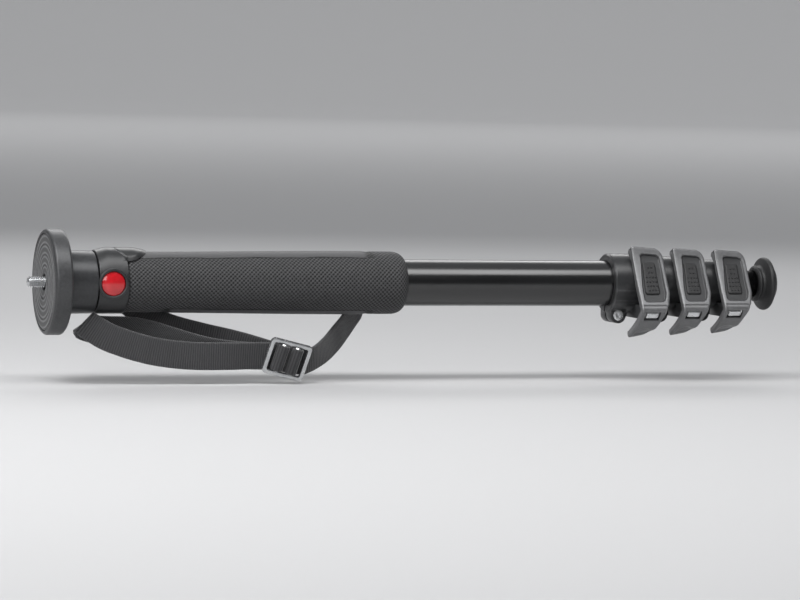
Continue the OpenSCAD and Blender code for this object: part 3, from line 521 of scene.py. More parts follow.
def build_neck():
    outline = [(10.25, 5), (10.25, 18.1), (27.6, 17.8), (27.6, 12.25), (36.6, 12.25), (36.6, 0), (18.4, 0),
               (18.4, 5)]
    profile = fillet(outline, [0.2, 0.5, 0.7, 0.1, 0.5, 0, 0, 0.2], 5)
    make("head_neck_turned", *spin_x(profile, 144), NECK, "upper", ["head_neck"], "neck_black")


# ---- collar with its tongue, badge ----
COLLAR_X0, COLLAR_X1, COLLAR_R, TONGUE_R = 28.2, 45.2, 18.0, 13.4
COLLAR_BORE, COLLAR_ROUND = 13.6, 0.6
TONGUE_LOW, TONGUE_BORE, TONGUE_SLOPE = 17.95, 17.5, 0.012
SEAM_BACK, SEAM_DEEP = 5.5, 0.45                # line between the ring and its tongue
LUG_Z, LUG_OFF, LUG_HALF, LUG_EDGE = -4, 9.8, 1.5, 0.4
BADGE_AT, BADGE_SEAT = (36, -16.2, 0), 7.7
BADGE_R, BADGE_LOW, BADGE_RISE, BADGE_STEPS = 6.75, 1.35, 1.25, 14


def collar_radius(x, y, a):
    """Radius over the collar and its tongue, which swells out of the collar and ends in a thin round edge."""
    rise = 1.9 * smoothstep(COLLAR_X0 - 2, COLLAR_X0 + 8, x) - 1.2 * smoothstep(49, 59, x)
    turn = math.degrees(math.acos(max(-1, min(1, math.cos(a)))))
    r = COLLAR_R + rise * smoothstep(68, 18, turn)
    seam = COLLAR_X1 - SEAM_BACK * smoothstep(50, 12, turn)
    r -= SEAM_DEEP * (1 - smoothstep(0.2, 0.55, abs(x - seam))) * smoothstep(52, 47, turn)
    if x > COLLAR_X1:
        inset = TONGUE_R - math.hypot(x - COLLAR_X1, y)
        r = TONGUE_LOW + max(0.0, r - TONGUE_LOW) * math.sqrt(smoothstep(-0.05, 2.4, inset))
    return r


def build_collar():
    cols, rows = 240, 150
    outer, inner = [], []
    for i in range(rows):
        t = i / (rows - 1)
        t = 0.5 - 0.5 * math.cos(math.pi * t)
        for j in range(cols):
            a = TAU * j / cols
            y = -18.6 * math.sin(a)
            over = math.cos(a) > 0 and abs(y) < TONGUE_R
            end = COLLAR_X1 + (math.sqrt(TONGUE_R ** 2 - y * y) if over else 0)
            x = COLLAR_X0 + (end - COLLAR_X0) * t
            r = collar_radius(x, y, a)
            for edge in (x - COLLAR_X0, COLLAR_ROUND if over else end - x):
                if edge < COLLAR_ROUND:
                    r -= COLLAR_ROUND * (1 - math.sqrt(max(0, 1 - (1 - edge / COLLAR_ROUND) ** 2)))
            spot = (x, -r * math.sin(a), r * math.cos(a))
            if spot[1] < 0 and math.hypot(x - BADGE_AT[0], spot[2]) < BADGE_SEAT:
                spot = (x, BADGE_AT[1] + 0.3, spot[2])
            outer.append(spot)
            ri = COLLAR_BORE if x < COLLAR_X1 + 0.1 else TONGUE_BORE + TONGUE_SLOPE * (x - COLLAR_X1)
            inner.append((x, -ri * math.sin(a), ri * math.cos(a)))
    gap = rows * cols
    faces = grid_faces(rows, cols, 0, False, True) + grid_faces(rows, cols, gap, False, True)
    for row in (0, gap - cols):
        for j in range(cols):
            a, b = row + j, row + (j + 1) % cols
            faces.append((a, b, gap + b, gap + a))
    parts = [(outer + inner, faces)]
    outline = fillet([(-8, 33), (-24.4, 33), (-24.4, 39), (-8, 39)], [0.3, 2.6, 2.6, 0.3], 6)
    for side in (-1, 1):
        mid = LUG_Z + side * LUG_OFF
        lug, faces = slab(outline, mid - LUG_HALF, mid + LUG_HALF, LUG_EDGE)
        parts.append(([(x, -u, z) for z, u, x in lug], faces))
    rim = fillet([(-3, 7.05), (2.0, 7.05), (2.3, 7.6), (2.1, 8.7), (-3, 8.7)], [0, 0.2, 0.5, 0.5, 0], 5)
    parts.append(spin_y(rim, BADGE_AT))
    make("grip_collar_shell", *merge(*parts), MOULD, "upper", ["grip_collar"], "moulded_black", 42)


def build_badge():
    profile = [(-1.2, 0), (-1.2, 6.95), (0.9, 6.95), (BADGE_LOW, BADGE_R)]
    for i in range(1, BADGE_STEPS + 1):
        a = 1 - i / BADGE_STEPS
        profile.append((BADGE_LOW + BADGE_RISE * (1 - a * a), BADGE_R * a))
    make("red_badge_dome", *spin_y(profile, BADGE_AT), RED, "upper", ["red_badge"], "badge_red", 50)


# ---- grip ----
GRIP_X0, GRIP_X1, GRIP_R, GRIP_SWELL, GRIP_BORE = 45.5, 213.0, 17.1, 1.1, 13.55
END_LONG, END_DEEP, END_ROWS = 7, 4.3, 16       # round end towards the foot
END_RUN, BACK_RUN = 5.5, 4                      # lengths of its surface, for the mesh pattern
STRIP_UP, STRIP_SEAM = 0.22, 0.34


def grip_strip(x, a):
    """1 on the smooth strips along the top and the bottom, 0 on the mesh; a is the angle from the top."""
    c = math.degrees(math.acos(max(-1, min(1, math.cos(a)))))
    ends = smoothstep(196, 186, x)
    wave = 0.8 * math.sin(x / 7.0) + 0.5 * math.sin(x / 2.9)
    top = smoothstep(35.4 + wave, 33.4 + wave, c)
    low = smoothstep(147.5, 149.5, c) * smoothstep(66, 74, x)
    return max(top, low) * ends


def grip_run(x, drop):
    """Place along the grip's surface at a station, for the mesh pattern."""
    return x + END_RUN * drop


def build_grip():
    cols, rows = 6 * GRIP_CELLS, 436
    verts, panel = [], []
    flat = rows - END_ROWS
    stations = [(GRIP_X0 + (GRIP_X1 - END_LONG - GRIP_X0) * i / (flat - 1), 0.0) for i in range(flat)]
    for k in range(1, END_ROWS + 1):
        a = math.pi / 2 * k / END_ROWS
        stations.append((GRIP_X1 - END_LONG * (1 - math.sin(a)), 1 - math.cos(a)))
    for x, drop in stations:
        along = math.cos(TAU * grip_run(x, drop) / GRIP_PITCH)
        r = GRIP_R + GRIP_SWELL * smoothstep(GRIP_X0, GRIP_X1 - 30, x) - END_DEEP * drop
        r -= 0.7 * (1 - smoothstep(GRIP_X0, GRIP_X0 + 1.0, x))
        for j in range(cols):
            a = TAU * j / cols
            s = grip_strip(x, a)
            seam = math.exp(-((s - 0.5) / 0.3) ** 2) if 0 < s < 1 else 0.0
            weave = math.cos(a * GRIP_CELLS) * along
            hole = 1 - min(1.0, max(0.0, (weave - KNIT_LOW) / (KNIT_HIGH - KNIT_LOW)))
            rr = r + STRIP_UP * s * (1 - drop) - STRIP_SEAM * seam - KNIT_DEEP * hole * (1 - s)
            verts.append((x, -rr * math.sin(a), rr * math.cos(a)))
            panel.append(1.0 - s)
    verts += ring_points(GRIP_X1, GRIP_BORE, cols) + ring_points(GRIP_X0, GRIP_BORE, cols)
    panel += [0.0] * (2 * cols)
    faces = grid_faces(rows, cols, 0, False, True) + closing_faces(rows, cols)

    def places(spots):
        around = [i % cols for i in spots]
        wrap = max(around) - min(around) > cols / 2
        uvs = []
        for i, j in zip(spots, around):
            x = verts[i][0]
            run = grip_run(x, stations[i // cols][1]) if i < rows * cols else x + BACK_RUN
            uvs.append(((j + (cols if wrap and j < cols / 2 else 0)) / cols * GRIP_ROUND, run))
        return uvs

    points = [(x * MM, y * MM, z * MM) for x, y, z in verts]
    woven("grip_sleeve_mesh", points, faces, "panel", panel, places, GRIP, ["grip_sleeve"], 75)


# ---- first tube and foot ----
TUBE_X0, TUBE_X1, TUBE_R, TUBE_BORE = 27.65, 354.9, 13.5, 12.35
FOOT_X, FOOT_BORE = 438.0, 7.85


def build_tube():
    profile = [(TUBE_X0, TUBE_BORE), (TUBE_X0, TUBE_R)] + [(x, TUBE_R) for x in range(40, 350, 20)]
    profile += [(TUBE_X1, TUBE_R), (TUBE_X1, TUBE_BORE)] + [(x, TUBE_BORE) for x in range(340, 30, -20)]
    make("section_1_tube_gloss", *spin_x(profile, 160), TUBE, "upper", ["section_1_tube"], "tube_black")


def build_foot():
    outline = [(0, FOOT_BORE), (0, 9.45), (1.1, 10.85), (2.0, 10.85), (2.8, 9.8), (4.2, 10.85), (5.4, 14.5),
               (5.9, 15.6), (7.2, 16), (8.5, 15.6), (9.5, 13.2), (12, 10.2), (12, 0), (7, 0), (7, FOOT_BORE)]
    rounds = [0.3, 0.5, 0.7, 0.7, 0.8, 1.0, 1.1, 0.6, 0.9, 0.6, 1.0, 1.3, 0, 0, 0.2]
    profile = fillet([(FOOT_X + d, r) for d, r in outline], rounds, 5)
    make("rubber_foot_bell", *spin_x(profile, 128), RUBBER, "section_4", ["rubber_foot"], "rubber_black", 55)


# ---- levers: side view as (front distance, height), scaled with the lever's height ----
LEVER_HIGH = (54.9, 52.8, 51.0)
LOCK_X, LOCK_STEP, LEVER_OFF = 342, 27, 11
CHEEK_LEFT, CHEEK_RIGHT, CHEEK_EDGE, CHEEK_IN = (0.12, 2.2), (17.8, 19.85), 0.35, 1.2
CAP_R, CAP_SPAN, CAP_EDGE, CAP_STEPS = 1.4, (0.02, 0.4), 0.12, 28
TOP, TOP_PULL, BULGE_UP = (12, 23.2), (17.2, 9.6), (32.3, -13.2)
BULGE_LOW, TAIL_PULL, TAIL, HEEL = (32.3, -15.6), (26, -24), (11, -31.7), (9.8, -28.6)
PIVOT, HUB_R, RING_R, LUG_ROOM = (9.3, 18.8), 2.5, 18.3, 2.45
RIM, RIM_FROM = 4.0, 4.0
LEVER_W, WAIST_W, TAIL_W, LEVER_WALL = 20.0, 14.8, 13.6, 2.4
TAPER_FROM, TAPER_TO, STEP_Z = -4.0, -20.0, -11.0
TOP_ROUND, TAIL_ROUND, CORNER = 6.0, 4.0, 1.3
WINDOW = (2.6, 12.2, -20.7, -15.7)             # x from and to, height from and to
PANEL_Z, PANEL_RIGHT, PANEL_ROUND, PANEL_DEEP = (-9.4, 19.2), 2.5, 2.6, 1.15
EDGE_COLS, FACE_COLS, PATCH_COLS = 4, 34, 22
BEND_STEPS, LINE_FINE, LINE_STEP, LINE_ROUNDS = 30, 0.25, 0.36, 26
DOME_R, DOME_SINK, DOME_ROWS, DOME_COLS = 0.6, -0.25, 5, 10
DOMES = ((10.4, (8.7, 10.8)), (7.6, (8.7, 10.8)), (5.0, (6.7, 8.7, 10.7, 12.3)),
         (2.5, (6.5, 8.5, 10.5, 12.3)), (0.0, (6.4, 8.4, 10.4, 12.3)), (-2.6, (7.2, 9.2, 11.2)))


def walk(points, step):
    """Points at even steps along a line of points."""
    out, left = [points[0]], step
    for a, b in zip(points, points[1:]):
        d = math.dist(a, b)
        at = 0.0
        while d - at >= left:
            at += left
            out.append(tuple(a[i] + (b[i] - a[i]) * at / d for i in range(len(a))))
            left = step
        left -= d - at
    if math.dist(out[-1], points[-1]) > step * 0.3:
        out.append(points[-1])
    return out


def lever_line():
    """The front from the hub over the top and the bulge to the tail, smoothed, at even steps."""
    raw = [(9.6, 21.9), (10.8, 22.9)]
    for a, pull, b in ((TOP, TOP_PULL, BULGE_UP), (BULGE_LOW, TAIL_PULL, TAIL)):
        raw += [curve(a, pull, b, i / BEND_STEPS) for i in range(BEND_STEPS + 1)]
    fine = walk(raw, LINE_FINE)
    for _ in range(LINE_ROUNDS):
        threes = zip(fine, fine[1:], fine[2:])
        mid = [tuple((a[i] + 2 * b[i] + c[i]) / 4 for i in (0, 1)) for a, b, c in threes]
        fine = [fine[0]] + mid + [fine[-1]]
    return walk(fine, LINE_STEP)


LINE = lever_line()
LINE_TOP = max(range(len(LINE)), key=lambda i: LINE[i][0] * 0.5 + LINE[i][1])


def window_rows():
    """Stations moved on to the window's upper and lower edge."""
    rows = []
    for z in (WINDOW[3], WINDOW[2]):
        i = min(range(LINE_TOP, len(LINE)), key=lambda q: abs(LINE[q][1] - z))
        LINE[i] = (LINE[i][0], z)
        rows.append(i)
    return rows


WINDOW_ROWS = window_rows()


def line_normal(i):
    a, b = LINE[max(0, i - 1)], LINE[min(len(LINE) - 1, i + 1)]
    t = (b[0] - a[0], b[1] - a[1])
    l = math.hypot(*t)
    return (-t[1] / l, t[0] / l)


def right_edge(z):
    """The edge towards the foot: round at the top, tapered to the tail, with a small step at the waist."""
    top, low = TOP[1], TAIL[1]
    if z > top - TOP_ROUND:
        s = min(1.0, (z - top + TOP_ROUND) / TOP_ROUND)
        return LEVER_W - TOP_ROUND * (1 - math.sqrt(1 - s * s))
    step = 0.5 * smoothstep(STEP_Z + 0.3, STEP_Z - 0.3, z) * smoothstep(TAPER_TO, STEP_Z - 1, z)
    if z > TAPER_TO:
        t = max(0.0, (TAPER_FROM - z) / (TAPER_FROM - TAPER_TO))
        return LEVER_W + (WAIST_W - LEVER_W) * t - step
    if z > low + TAIL_ROUND:
        return WAIST_W + (TAIL_W - WAIST_W) * (TAPER_TO - z) / (TAPER_TO - low - TAIL_ROUND)
    s = min(1.0, (low + TAIL_ROUND - z) / TAIL_ROUND)
    return TAIL_W - TAIL_ROUND * (1 - math.sqrt(max(0.0, 1 - s * s)))


def lever_skew(x, z):
    """Fall of the top edge and rise of the tail's edge towards the foot."""
    return 0.182 * x * smoothstep(-25, -31, z) - 0.075 * x * smoothstep(10, 19, z)


def box_inset(x, z, x0, x1, z0, z1, r):
    """How far inside a round-cornered rectangle a point lies; below 0 outside it."""
    qx = abs(x - (x0 + x1) / 2) - (x1 - x0) / 2 + r
    qz = abs(z - (z0 + z1) / 2) - (z1 - z0) / 2 + r
    return r - math.hypot(max(qx, 0), max(qz, 0)) - min(max(qx, qz), 0)


def panel_left(z):
    return 2.3 + 2.3 * smoothstep(-6, 17, z)


def panel_floor(x, z):
    """1 on the floor of the recessed panel, 0 on the rim round it."""
    right = right_edge(z) - PANEL_RIGHT
    return smoothstep(0, 0.7, box_inset(x, z, panel_left(z), right, *PANEL_Z, PANEL_ROUND))


def lever_relief(x, z, i):
    """Height of the front over its plain line: recessed panel, waist band, window rim and thumb scoop."""
    if i < LINE_TOP:
        return 0.0
    h = -PANEL_DEEP * panel_floor(x, z)
    h -= 0.55 * smoothstep(STEP_Z + 0.3, STEP_Z - 0.3, z) * smoothstep(-21, -14, z)
    rim = box_inset(x, z, WINDOW[0] - 0.8, WINDOW[1] + 0.8, WINDOW[2] - 0.8, WINDOW[3] + 0.8, 1.0)
    h -= 0.35 * smoothstep(0.05, 0.6, rim)
    scoop = 1 - math.hypot((x - 6.8) / 5.4, (z + 29.4) / 4.2)
    h -= 0.8 * smoothstep(0.0, 0.35, scoop) * smoothstep(-31.4, -30.4, z)
    return h


def lever_columns(z, right):
    """X stations across the front, lined up with the panel's edges and lower down with the window's."""
    low = smoothstep(PANEL_Z[0] - 1, PANEL_Z[0] - 5, z)
    left = panel_left(max(z, PANEL_Z[0])) * (1 - low) + WINDOW[0] * low
    last = min((right - PANEL_RIGHT) * (1 - low) + WINDOW[1] * low, right - CORNER - 0.3)
    left = min(left, last - 1)
    cols = [CORNER + (left - CORNER) * i / EDGE_COLS for i in range(EDGE_COLS)]
    for i in range(FACE_COLS + 1):
        t = i / FACE_COLS
        cols.append(left + (last - left) * (0.6 * t + 0.2 * (1 - math.cos(math.pi * t))))
    return cols + [last + (right - CORNER - last) * i / EDGE_COLS for i in range(1, EDGE_COLS + 1)]


def placed(points, h, x0):
    return [(x0 + x, -u * h, (z + lever_skew(x, z)) * h) for x, u, z in points]


def lever_shell(h, x0):
    """Points and faces of the hollow front with its window, and 1 on the points that get painted shade: the
    panel's floor and the inside.
    """
    arc = [math.pi / 2 * k / 6 for k in range(7)]
    bevel = [(CORNER * (1 - math.sin(a)), CORNER * (1 - math.cos(a)), 0) for a in arc]
    side = 1.6
    outer, inner, floor = [], [], []
    for i, (u, z) in enumerate(LINE):
        wall = max(0.6, min(LEVER_WALL, math.dist((u, z), PIVOT) - LUG_ROOM))
        deep = max(CORNER + 0.1, wall + 0.5)
        nu, nz = line_normal(i)
        right = right_edge(z)
        ring = [(0.0, deep, 0)] + bevel[:0:-1] + [(x, 0.0, 1) for x in lever_columns(z, right)]
        ring += [(right - x, d, 0) for x, d, _ in bevel[1:]] + [(right, deep, 0)]
        for n, (x, d, flat) in enumerate(ring):
            up = lever_relief(x, z, i) if flat else 0.0
            outer.append((x, u + nu * (up - d), z + nz * (up - d)))
            # painted shade: 1 on the panel's floor
            floor.append(panel_floor(x, z) if flat and i > LINE_TOP else 0.0)
            xi = min(max(x, side), right - side)
            di = deep if n in (0, len(ring) - 1) else wall
            inner.append((xi, u - nu * di, z - nz * di))
    rows, count = len(LINE), len(ring)
    first = len(arc) + EDGE_COLS
    hole_cols, gap = (first, first + FACE_COLS), rows * count
    faces = walls((0, rows - 1), (0, count - 1), count, gap) + walls(WINDOW_ROWS, hole_cols, count, gap)
    for q in grid_faces(rows, count):
        i, j = divmod(q[0], count)
        if not (i in range(*WINDOW_ROWS) and j in range(*hole_cols)):
            faces += [q, tuple(gap + v for v in q)]
    # the whole inside gets painted shade too
    return placed(outer + inner, h, x0), faces, floor + [1.0] * len(inner)


def rim_outline(h):
    """The cheek below the lock: a rim along the front line."""
    front, back = [], []
    for i in [*range(LINE_TOP, len(LINE) - 2, 2), len(LINE) - 1]:
        (u, z), (nu, nz) = LINE[i], line_normal(i)
        if z < RIM_FROM:
            front.append((u - CHEEK_IN * nu, z - CHEEK_IN * nz))
            back.append((u - RIM * nu, z - RIM * nz))
    return [(u * h, z * h) for u, z in front + back[::-1]]


def cheek_outline(h, low, high):
    """A cheek at the lock between two heights: the front line, the lock's ring and the hub."""
    ring = []
    for i in range(4, len(LINE), 2):
        (u, z), (nu, nz) = LINE[i], line_normal(i)
        ring.append((u - CHEEK_IN * nu, z - CHEEK_IN * nz))
    ring += [HEEL] + on_arc((0, 0), RING_R, range(-20, 58, 6)) + on_arc(PIVOT, HUB_R, range(200, 100, -12))
    return [(u * h, z * h) for u, z in ring if low < z < high]


def patch(h, x0, z_span, x_span, r, face, base, soft):
    """A round-cornered piece along the lever's front line, with its face and base at heights over it."""
    (z_lo, z_hi), cols = z_span, PATCH_COLS
    spots = [i for i in range(LINE_TOP, len(LINE)) if z_lo <= LINE[i][1] <= z_hi]
    top, floor = [], []
    for i in spots:
        u, z = LINE[i]
        nu, nz = line_normal(i)
        depth = min(z - z_lo, z_hi - z)
        pull = r - math.sqrt(max(0, r * r - (r - depth) ** 2)) if depth < r else 0.0
        x_lo, x_hi = x_span(z)
        for j in range(cols):
            x = x_lo + pull + (x_hi - x_lo - 2 * pull) * j / (cols - 1)
            edge = min(x - x_lo - pull, x_hi - pull - x, depth)
            up = face - soft * (1 - math.sqrt(smoothstep(-0.05, soft, edge)))
            top.append((x, u + nu * up, z + nz * up))
            floor.append((x, u + nu * base, z + nz * base))
    rows = len(spots)
    gap = rows * cols
    faces = grid_faces(rows, cols) + grid_faces(rows, cols, gap)
    faces += walls((0, rows - 1), (0, cols - 1), cols, gap)
    return placed(top + floor, h, x0), faces


def pad_edges(z):
    return 4.4 + 1.3 * smoothstep(-5, 13, z), 13.8


def window_edges(_z):
    return WINDOW[0] + 1.0, WINDOW[1] - 1.1


def pad_piece(h, x0):
    """Rubber pad on the lever's panel, with rows of small domes."""
    parts = [patch(h, x0, (-4.8, 14.0), pad_edges, 1.7, -0.2, -1.5, 0.7)]
    for z, xs in DOMES:
        i = min(range(LINE_TOP, len(LINE)), key=lambda q: abs(LINE[q][1] - z))
        (u, zz), (nu, nz) = LINE[i], line_normal(i)
        for x in xs:
            verts = []
            for k in range(DOME_ROWS):
                b = math.pi / 2 * k / (DOME_ROWS - 1)
                rad, up = DOME_R * math.cos(b), DOME_SINK + DOME_R * math.sin(b)
                for n in range(DOME_COLS):
                    a = TAU * n / DOME_COLS
                    along = rad * math.sin(a)
                    verts.append((x0 + x + rad * math.cos(a), -h * (u + nu * up + nz * along),
                                  h * (zz + nz * up - nu * along)))
            faces = grid_faces(DOME_ROWS, DOME_COLS, 0, False, True) + [tuple(range(DOME_COLS))]
            parts.append((verts, faces))
    return merge(*parts)


def build_levers():
    for k, high in enumerate(LEVER_HIGH):
        h = high / LEVER_HIGH[0]
        x0 = LOCK_X + LOCK_STEP * k + LEVER_OFF
        body, lock = "lever_%d" % (k + 1), "lock_%d_" % (k + 1)
        verts, faces, floor = lever_shell(h, x0)
        cap = on_arc((PIVOT[0] * h, PIVOT[1] * h), CAP_R, [360 * i / CAP_STEPS for i in range(CAP_STEPS)])
        shell = merge((verts, faces),
                      slab_x(rim_outline(h), x0, CHEEK_LEFT, CHEEK_EDGE),
                      slab_x(cheek_outline(h, 2.0, 99), x0, CHEEK_LEFT, CHEEK_EDGE),
                      slab_x(cheek_outline(h, -3.0, 13.0), x0, CHEEK_RIGHT, CHEEK_EDGE),
                      slab_x(cap, x0, CAP_SPAN, CAP_EDGE))
        # floor marks painted shade on the panel's floor and the inside
        make(body + "_body", *shell, LEVER, body, [lock + "lever"], "lever_grey", 38, floor)
        make(body + "_pad", *pad_piece(h, x0), RUBBER, body, [lock + "pad"], "rubber_black", 50)
        plate = patch(h, x0, (WINDOW[2] + 0.9, WINDOW[3] - 0.9), window_edges, 0.5, -0.7, -2.6, 0.5)
        make(body + "_window", *plate, STEEL, body, [lock + "window_plate"], "steel", 50)


# ---- wrist strap: runs as points, width direction as (place in the run, degrees) ----
STRAP_SOFT, STRAP_STEP = 0.7, 1.0
LEAN, TIP = 14.0, 14.0
PIN_AT, PIN_TURN = (36, 21.5, -4), 2.5
BUCKLE_AT = Vector((139, -17.5, -43))
BAR_OFF, ROLL_R, ROLL_W = 4.2, 3.0, 15.7


def width_way(slant, tip):
    """Width direction of the webbing: slanted along the tube and tipped to the front."""
    a, b = math.radians(slant), math.radians(tip)
    return Vector((math.sin(a) * math.cos(b), -math.sin(b), math.cos(a) * math.cos(b)))


BUCKLE_X = Vector((math.cos(math.radians(LEAN)), 0, -math.sin(math.radians(LEAN))))
BUCKLE_Z = width_way(LEAN, TIP)
BUCKLE_Y = BUCKLE_Z.cross(BUCKLE_X)
FRONT_RUN = [
    (129.6, -14.4, -41.1), (124, -14.3, -41), (108, -14.8, -41.3), (88, -15, -41.2), (75, -14.6, -40.4),
    (62, -14.2, -38.6), (51, -14, -36), (42, -13.8, -33.2), (34, -13, -30.2), (28, -11.6, -26.8),
    (23.6, -10.2, -23.8), (21.8, -8.4, -22.6), (22.6, -5.8, -24.8), (26, -3.6, -26),
    (30.5, -2.5, -26.8), (37, -2, -27.2), (50, -2.4, -27.6), (61, -4.2, -29.6), (74, -7.2, -33.4),
    (88, -9.9, -37.4), (100, -11.3, -39.8), (115, -11.9, -41.2), (127, -11.9, -41.6), (136, -11.9, -42.4)]
FRONT_SLANT = [(0, LEAN), (3, 0), (7, 0), (8, 12), (9, 28), (10, 42), (11, 48), (12, 44), (13, 32), (14, 18),
               (15, 6), (16, 0), (21, 0), (23, LEAN)]
FRONT_TIP = [(0, TIP), (1, 0.8 * TIP), (3, 0), (20, 0), (22, 0.6 * TIP), (23, TIP)]
REAR_RUN = [
    (36, 19, -4), (39.6, 19, -4), (45, 19, -6), (52, 19.2, -10.4), (58, 18.4, -14.8), (64, 16.4, -19.4),
    (70, 13, -23.6), (77, 8.8, -27), (93, 1.4, -31.2), (104, -2.4, -33.6), (115, -5.5, -36.2),
    (130, -8.8, -40.4), (143, -10.3, -44), (147.6, -10.8, -45.2)]
REAR_SLANT = [(0, 0), (10, 0), (12, LEAN)]
REAR_TIP = [(0, 0), (10, 0), (11, 0.7 * TIP), (12, TIP)]
RETURN_RUN = [
    (144.2, -12.7, -43.6), (147, -13.3, -44.2), (149.6, -14.2, -44.5), (152.6, -14, -44.2),
    (158, -11.4, -42.4), (167, -5, -37.6), (177, 4, -30.4), (184, 11.6, -25), (190, 18, -19.6),
    (194.5, 22.4, -15.4), (196.4, 25, -12.8), (195.4, 27, -11.2), (191.6, 28, -10.2), (184, 27.4, -9.6),
    (170, 25.8, -9.4), (140, 24.4, -9.4), (100, 24, -8.6), (70, 24, -6.6), (50, 24, -4.4), (39.6, 24, -4),
    (36, 24, -4)]
for turn in (45, 90, 135):
    RETURN_RUN.append((PIN_AT[0] - PIN_TURN * math.sin(math.radians(turn)),
                       PIN_AT[1] + PIN_TURN * math.cos(math.radians(turn)), PIN_AT[2]))
RETURN_RUN.append((35.7, 19, -4))
RETURN_SLANT = [(0, LEAN), (3, LEAN), (6, 0), (24, 0)]
RETURN_TIP = [(0, TIP), (3, TIP), (6, 0), (24, 0)]


def between(table, t):
    for (t0, v0), (t1, v1) in zip(table, table[1:]):
        if t <= t1:
            return v0 + (v1 - v0) * smoothstep(t0, t1, t)
    return table[-1][1]


def smooth_run(points):
    """Even steps along a smooth line through the points, each with its place among the points."""
    pts = [Vector(p) for p in points]
    dense = []
    for i in range(len(pts) - 1):
        p0, p1, p2, p3 = pts[max(0, i - 1)], pts[i], pts[i + 1], pts[min(len(pts) - 1, i + 2)]
        n = max(4, int((p2 - p1).length / 0.4))
        for k in range(n):
            t = k / n
            dense.append((0.5 * ((2 * p1) + (p2 - p0) * t + (2 * p0 - 5 * p1 + 4 * p2 - p3) * t * t
                                 + (3 * p1 - p0 - 3 * p2 + p3) * t ** 3), i + t))
    dense.append((pts[-1], len(pts) - 1.0))
    out, left = [dense[0]], STRAP_STEP
    for (a, _), (b, j) in zip(dense, dense[1:]):
        left -= (b - a).length
        if left <= 0:
            out.append((b, j))
            left = STRAP_STEP
    if out[-1][1] < dense[-1][1]:
        out[-1] = dense[-1]
    return out


def webbing(name, line, slant, tip, nodes=(), flip=False, width=STRAP_W):
    """A woven band along a line of (point, place); slant and tip give its width direction by place."""
    pts = [q for q, _ in line]
    n = len(pts)
    half, thick, soft = width / 2, STRAP_T / 2, STRAP_SOFT
    rim = [half, half - 0.12, half - 0.35, half - soft]
    middle = [-half + soft + (width - 2 * soft) * i / 10 for i in range(1, 10)]
    across = [-w for w in rim] + middle + rim[::-1]
    verts, uvs, back = [], [], []
    length = 0.0
    for i, p in enumerate(pts):
        if i:
            length += (p - pts[i - 1]).length
        way = (pts[min(i + 1, n - 1)] - pts[max(i - 1, 0)]).normalized()
        up = width_way(between(slant, line[i][1]), between(tip, line[i][1]))
        wide = (up - up.dot(way) * way).normalized()
        out = way.cross(wide).normalized()
        if flip:
            out = -out
        for side in (1, -1):
            for w in across if side == 1 else across[::-1][1:-1]:
                d = half - abs(w)
                t_here = thick * (math.sqrt(max(0, 1 - (1 - d / soft) ** 2)) if d < soft else 1.0)
                verts.append(p + wide * w + out * side * t_here)
                uvs.append((w + half, length))
                back.append(0.0 if side == 1 else 1.0)
    faces = capped(n, 2 * len(across) - 2)
    points = [tuple(v * MM) for v in verts]
    ob = woven(name, points, faces, "back", back, lambda spots: [uvs[i] for i in spots], WEBBING, nodes,
               60)


def build_strap():
    webbing("strap_front_ply", smooth_run(FRONT_RUN), FRONT_SLANT, FRONT_TIP, ["strap_front"], True)
    webbing("strap_rear_ply", smooth_run(REAR_RUN), REAR_SLANT, REAR_TIP, ["strap_rear"])
    webbing("strap_return_ply", smooth_run(RETURN_RUN), RETURN_SLANT, RETURN_TIP, ["strap_return"])
    for side in (-1, 1):
        mid = BUCKLE_AT + BUCKLE_X * BAR_OFF * side
        turn = [math.radians(q) for q in range(-150, 151, 6)]
        line = [(mid + ROLL_R * (BUCKLE_X * math.sin(a) - BUCKLE_Y * math.cos(a)), 0.0) for a in turn]
        webbing("strap_roll_%d" % (1.5 + side / 2), line, [(0, LEAN), (1, LEAN)], [(0, TIP), (1, TIP)],
                ["strap_bar_wraps"] if side < 0 else (), width=ROLL_W)


def build_buckle():
    """The frame: rounded loops from the opening's edge round the front and the back of the section."""
    def loop(hx, hz, r, y):
        pts = []
        for cx, cz, a0 in ((1, 1, 0), (-1, 1, 90), (-1, -1, 180), (1, -1, 270)):
            for k in range(7):
                a = math.radians(a0 + 15 * k)
                x, z = cx * (hx - r) + r * math.cos(a), cz * (hz - r) + r * math.sin(a)
                pts.append(tuple(BUCKLE_AT + BUCKLE_X * x + BUCKLE_Z * z + BUCKLE_Y * y))
        return pts

    outer, inner, t = (12.7, 10.9), (10.1, 8.3), 1.5
    half = [(inner, 0, 0.9, 0.7), (inner, 0.25, 1.1, 0.25), (inner, 0.8, 1.5, 0),
            (outer, -0.9, 2.0, 0), (outer, -0.3, 2.5, 0.3), (outer, 0, 2.7, 0.9)]
    rings = [loop(x + d, z + d, r, -t + e) for (x, z), d, r, e in half]
    rings += [loop(x + d, z + d, r, t - e) for (x, z), d, r, e in reversed(half)]
    faces = grid_faces(len(rings), len(rings[0]), 0, True, True)
    make("buckle_frame_cast", sum(rings, []), faces, CAST, "upper", ["buckle_frame"], "buckle_metal", 30)


# ---- pieces that keep their solids ----
SOLID_WELD, EDGE_STEPS, EDGE_ANGLE = 1e-6, 2, 40


def dress(node, material, edge=0.25):
    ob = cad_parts[node]
    ob.data.materials.clear()
    ob.data.materials.append(material)
    for p in ob.data.polygons:
        p.use_smooth = True
    weld = ob.modifiers.new("weld", "WELD")
    weld.merge_threshold = SOLID_WELD
    if edge:
        b = ob.modifiers.new("edge", "BEVEL")
        b.width = edge * MM
        b.segments = EDGE_STEPS
        b.limit_method = "ANGLE"
        b.angle_limit = math.radians(EDGE_ANGLE)
        b.harden_normals = False


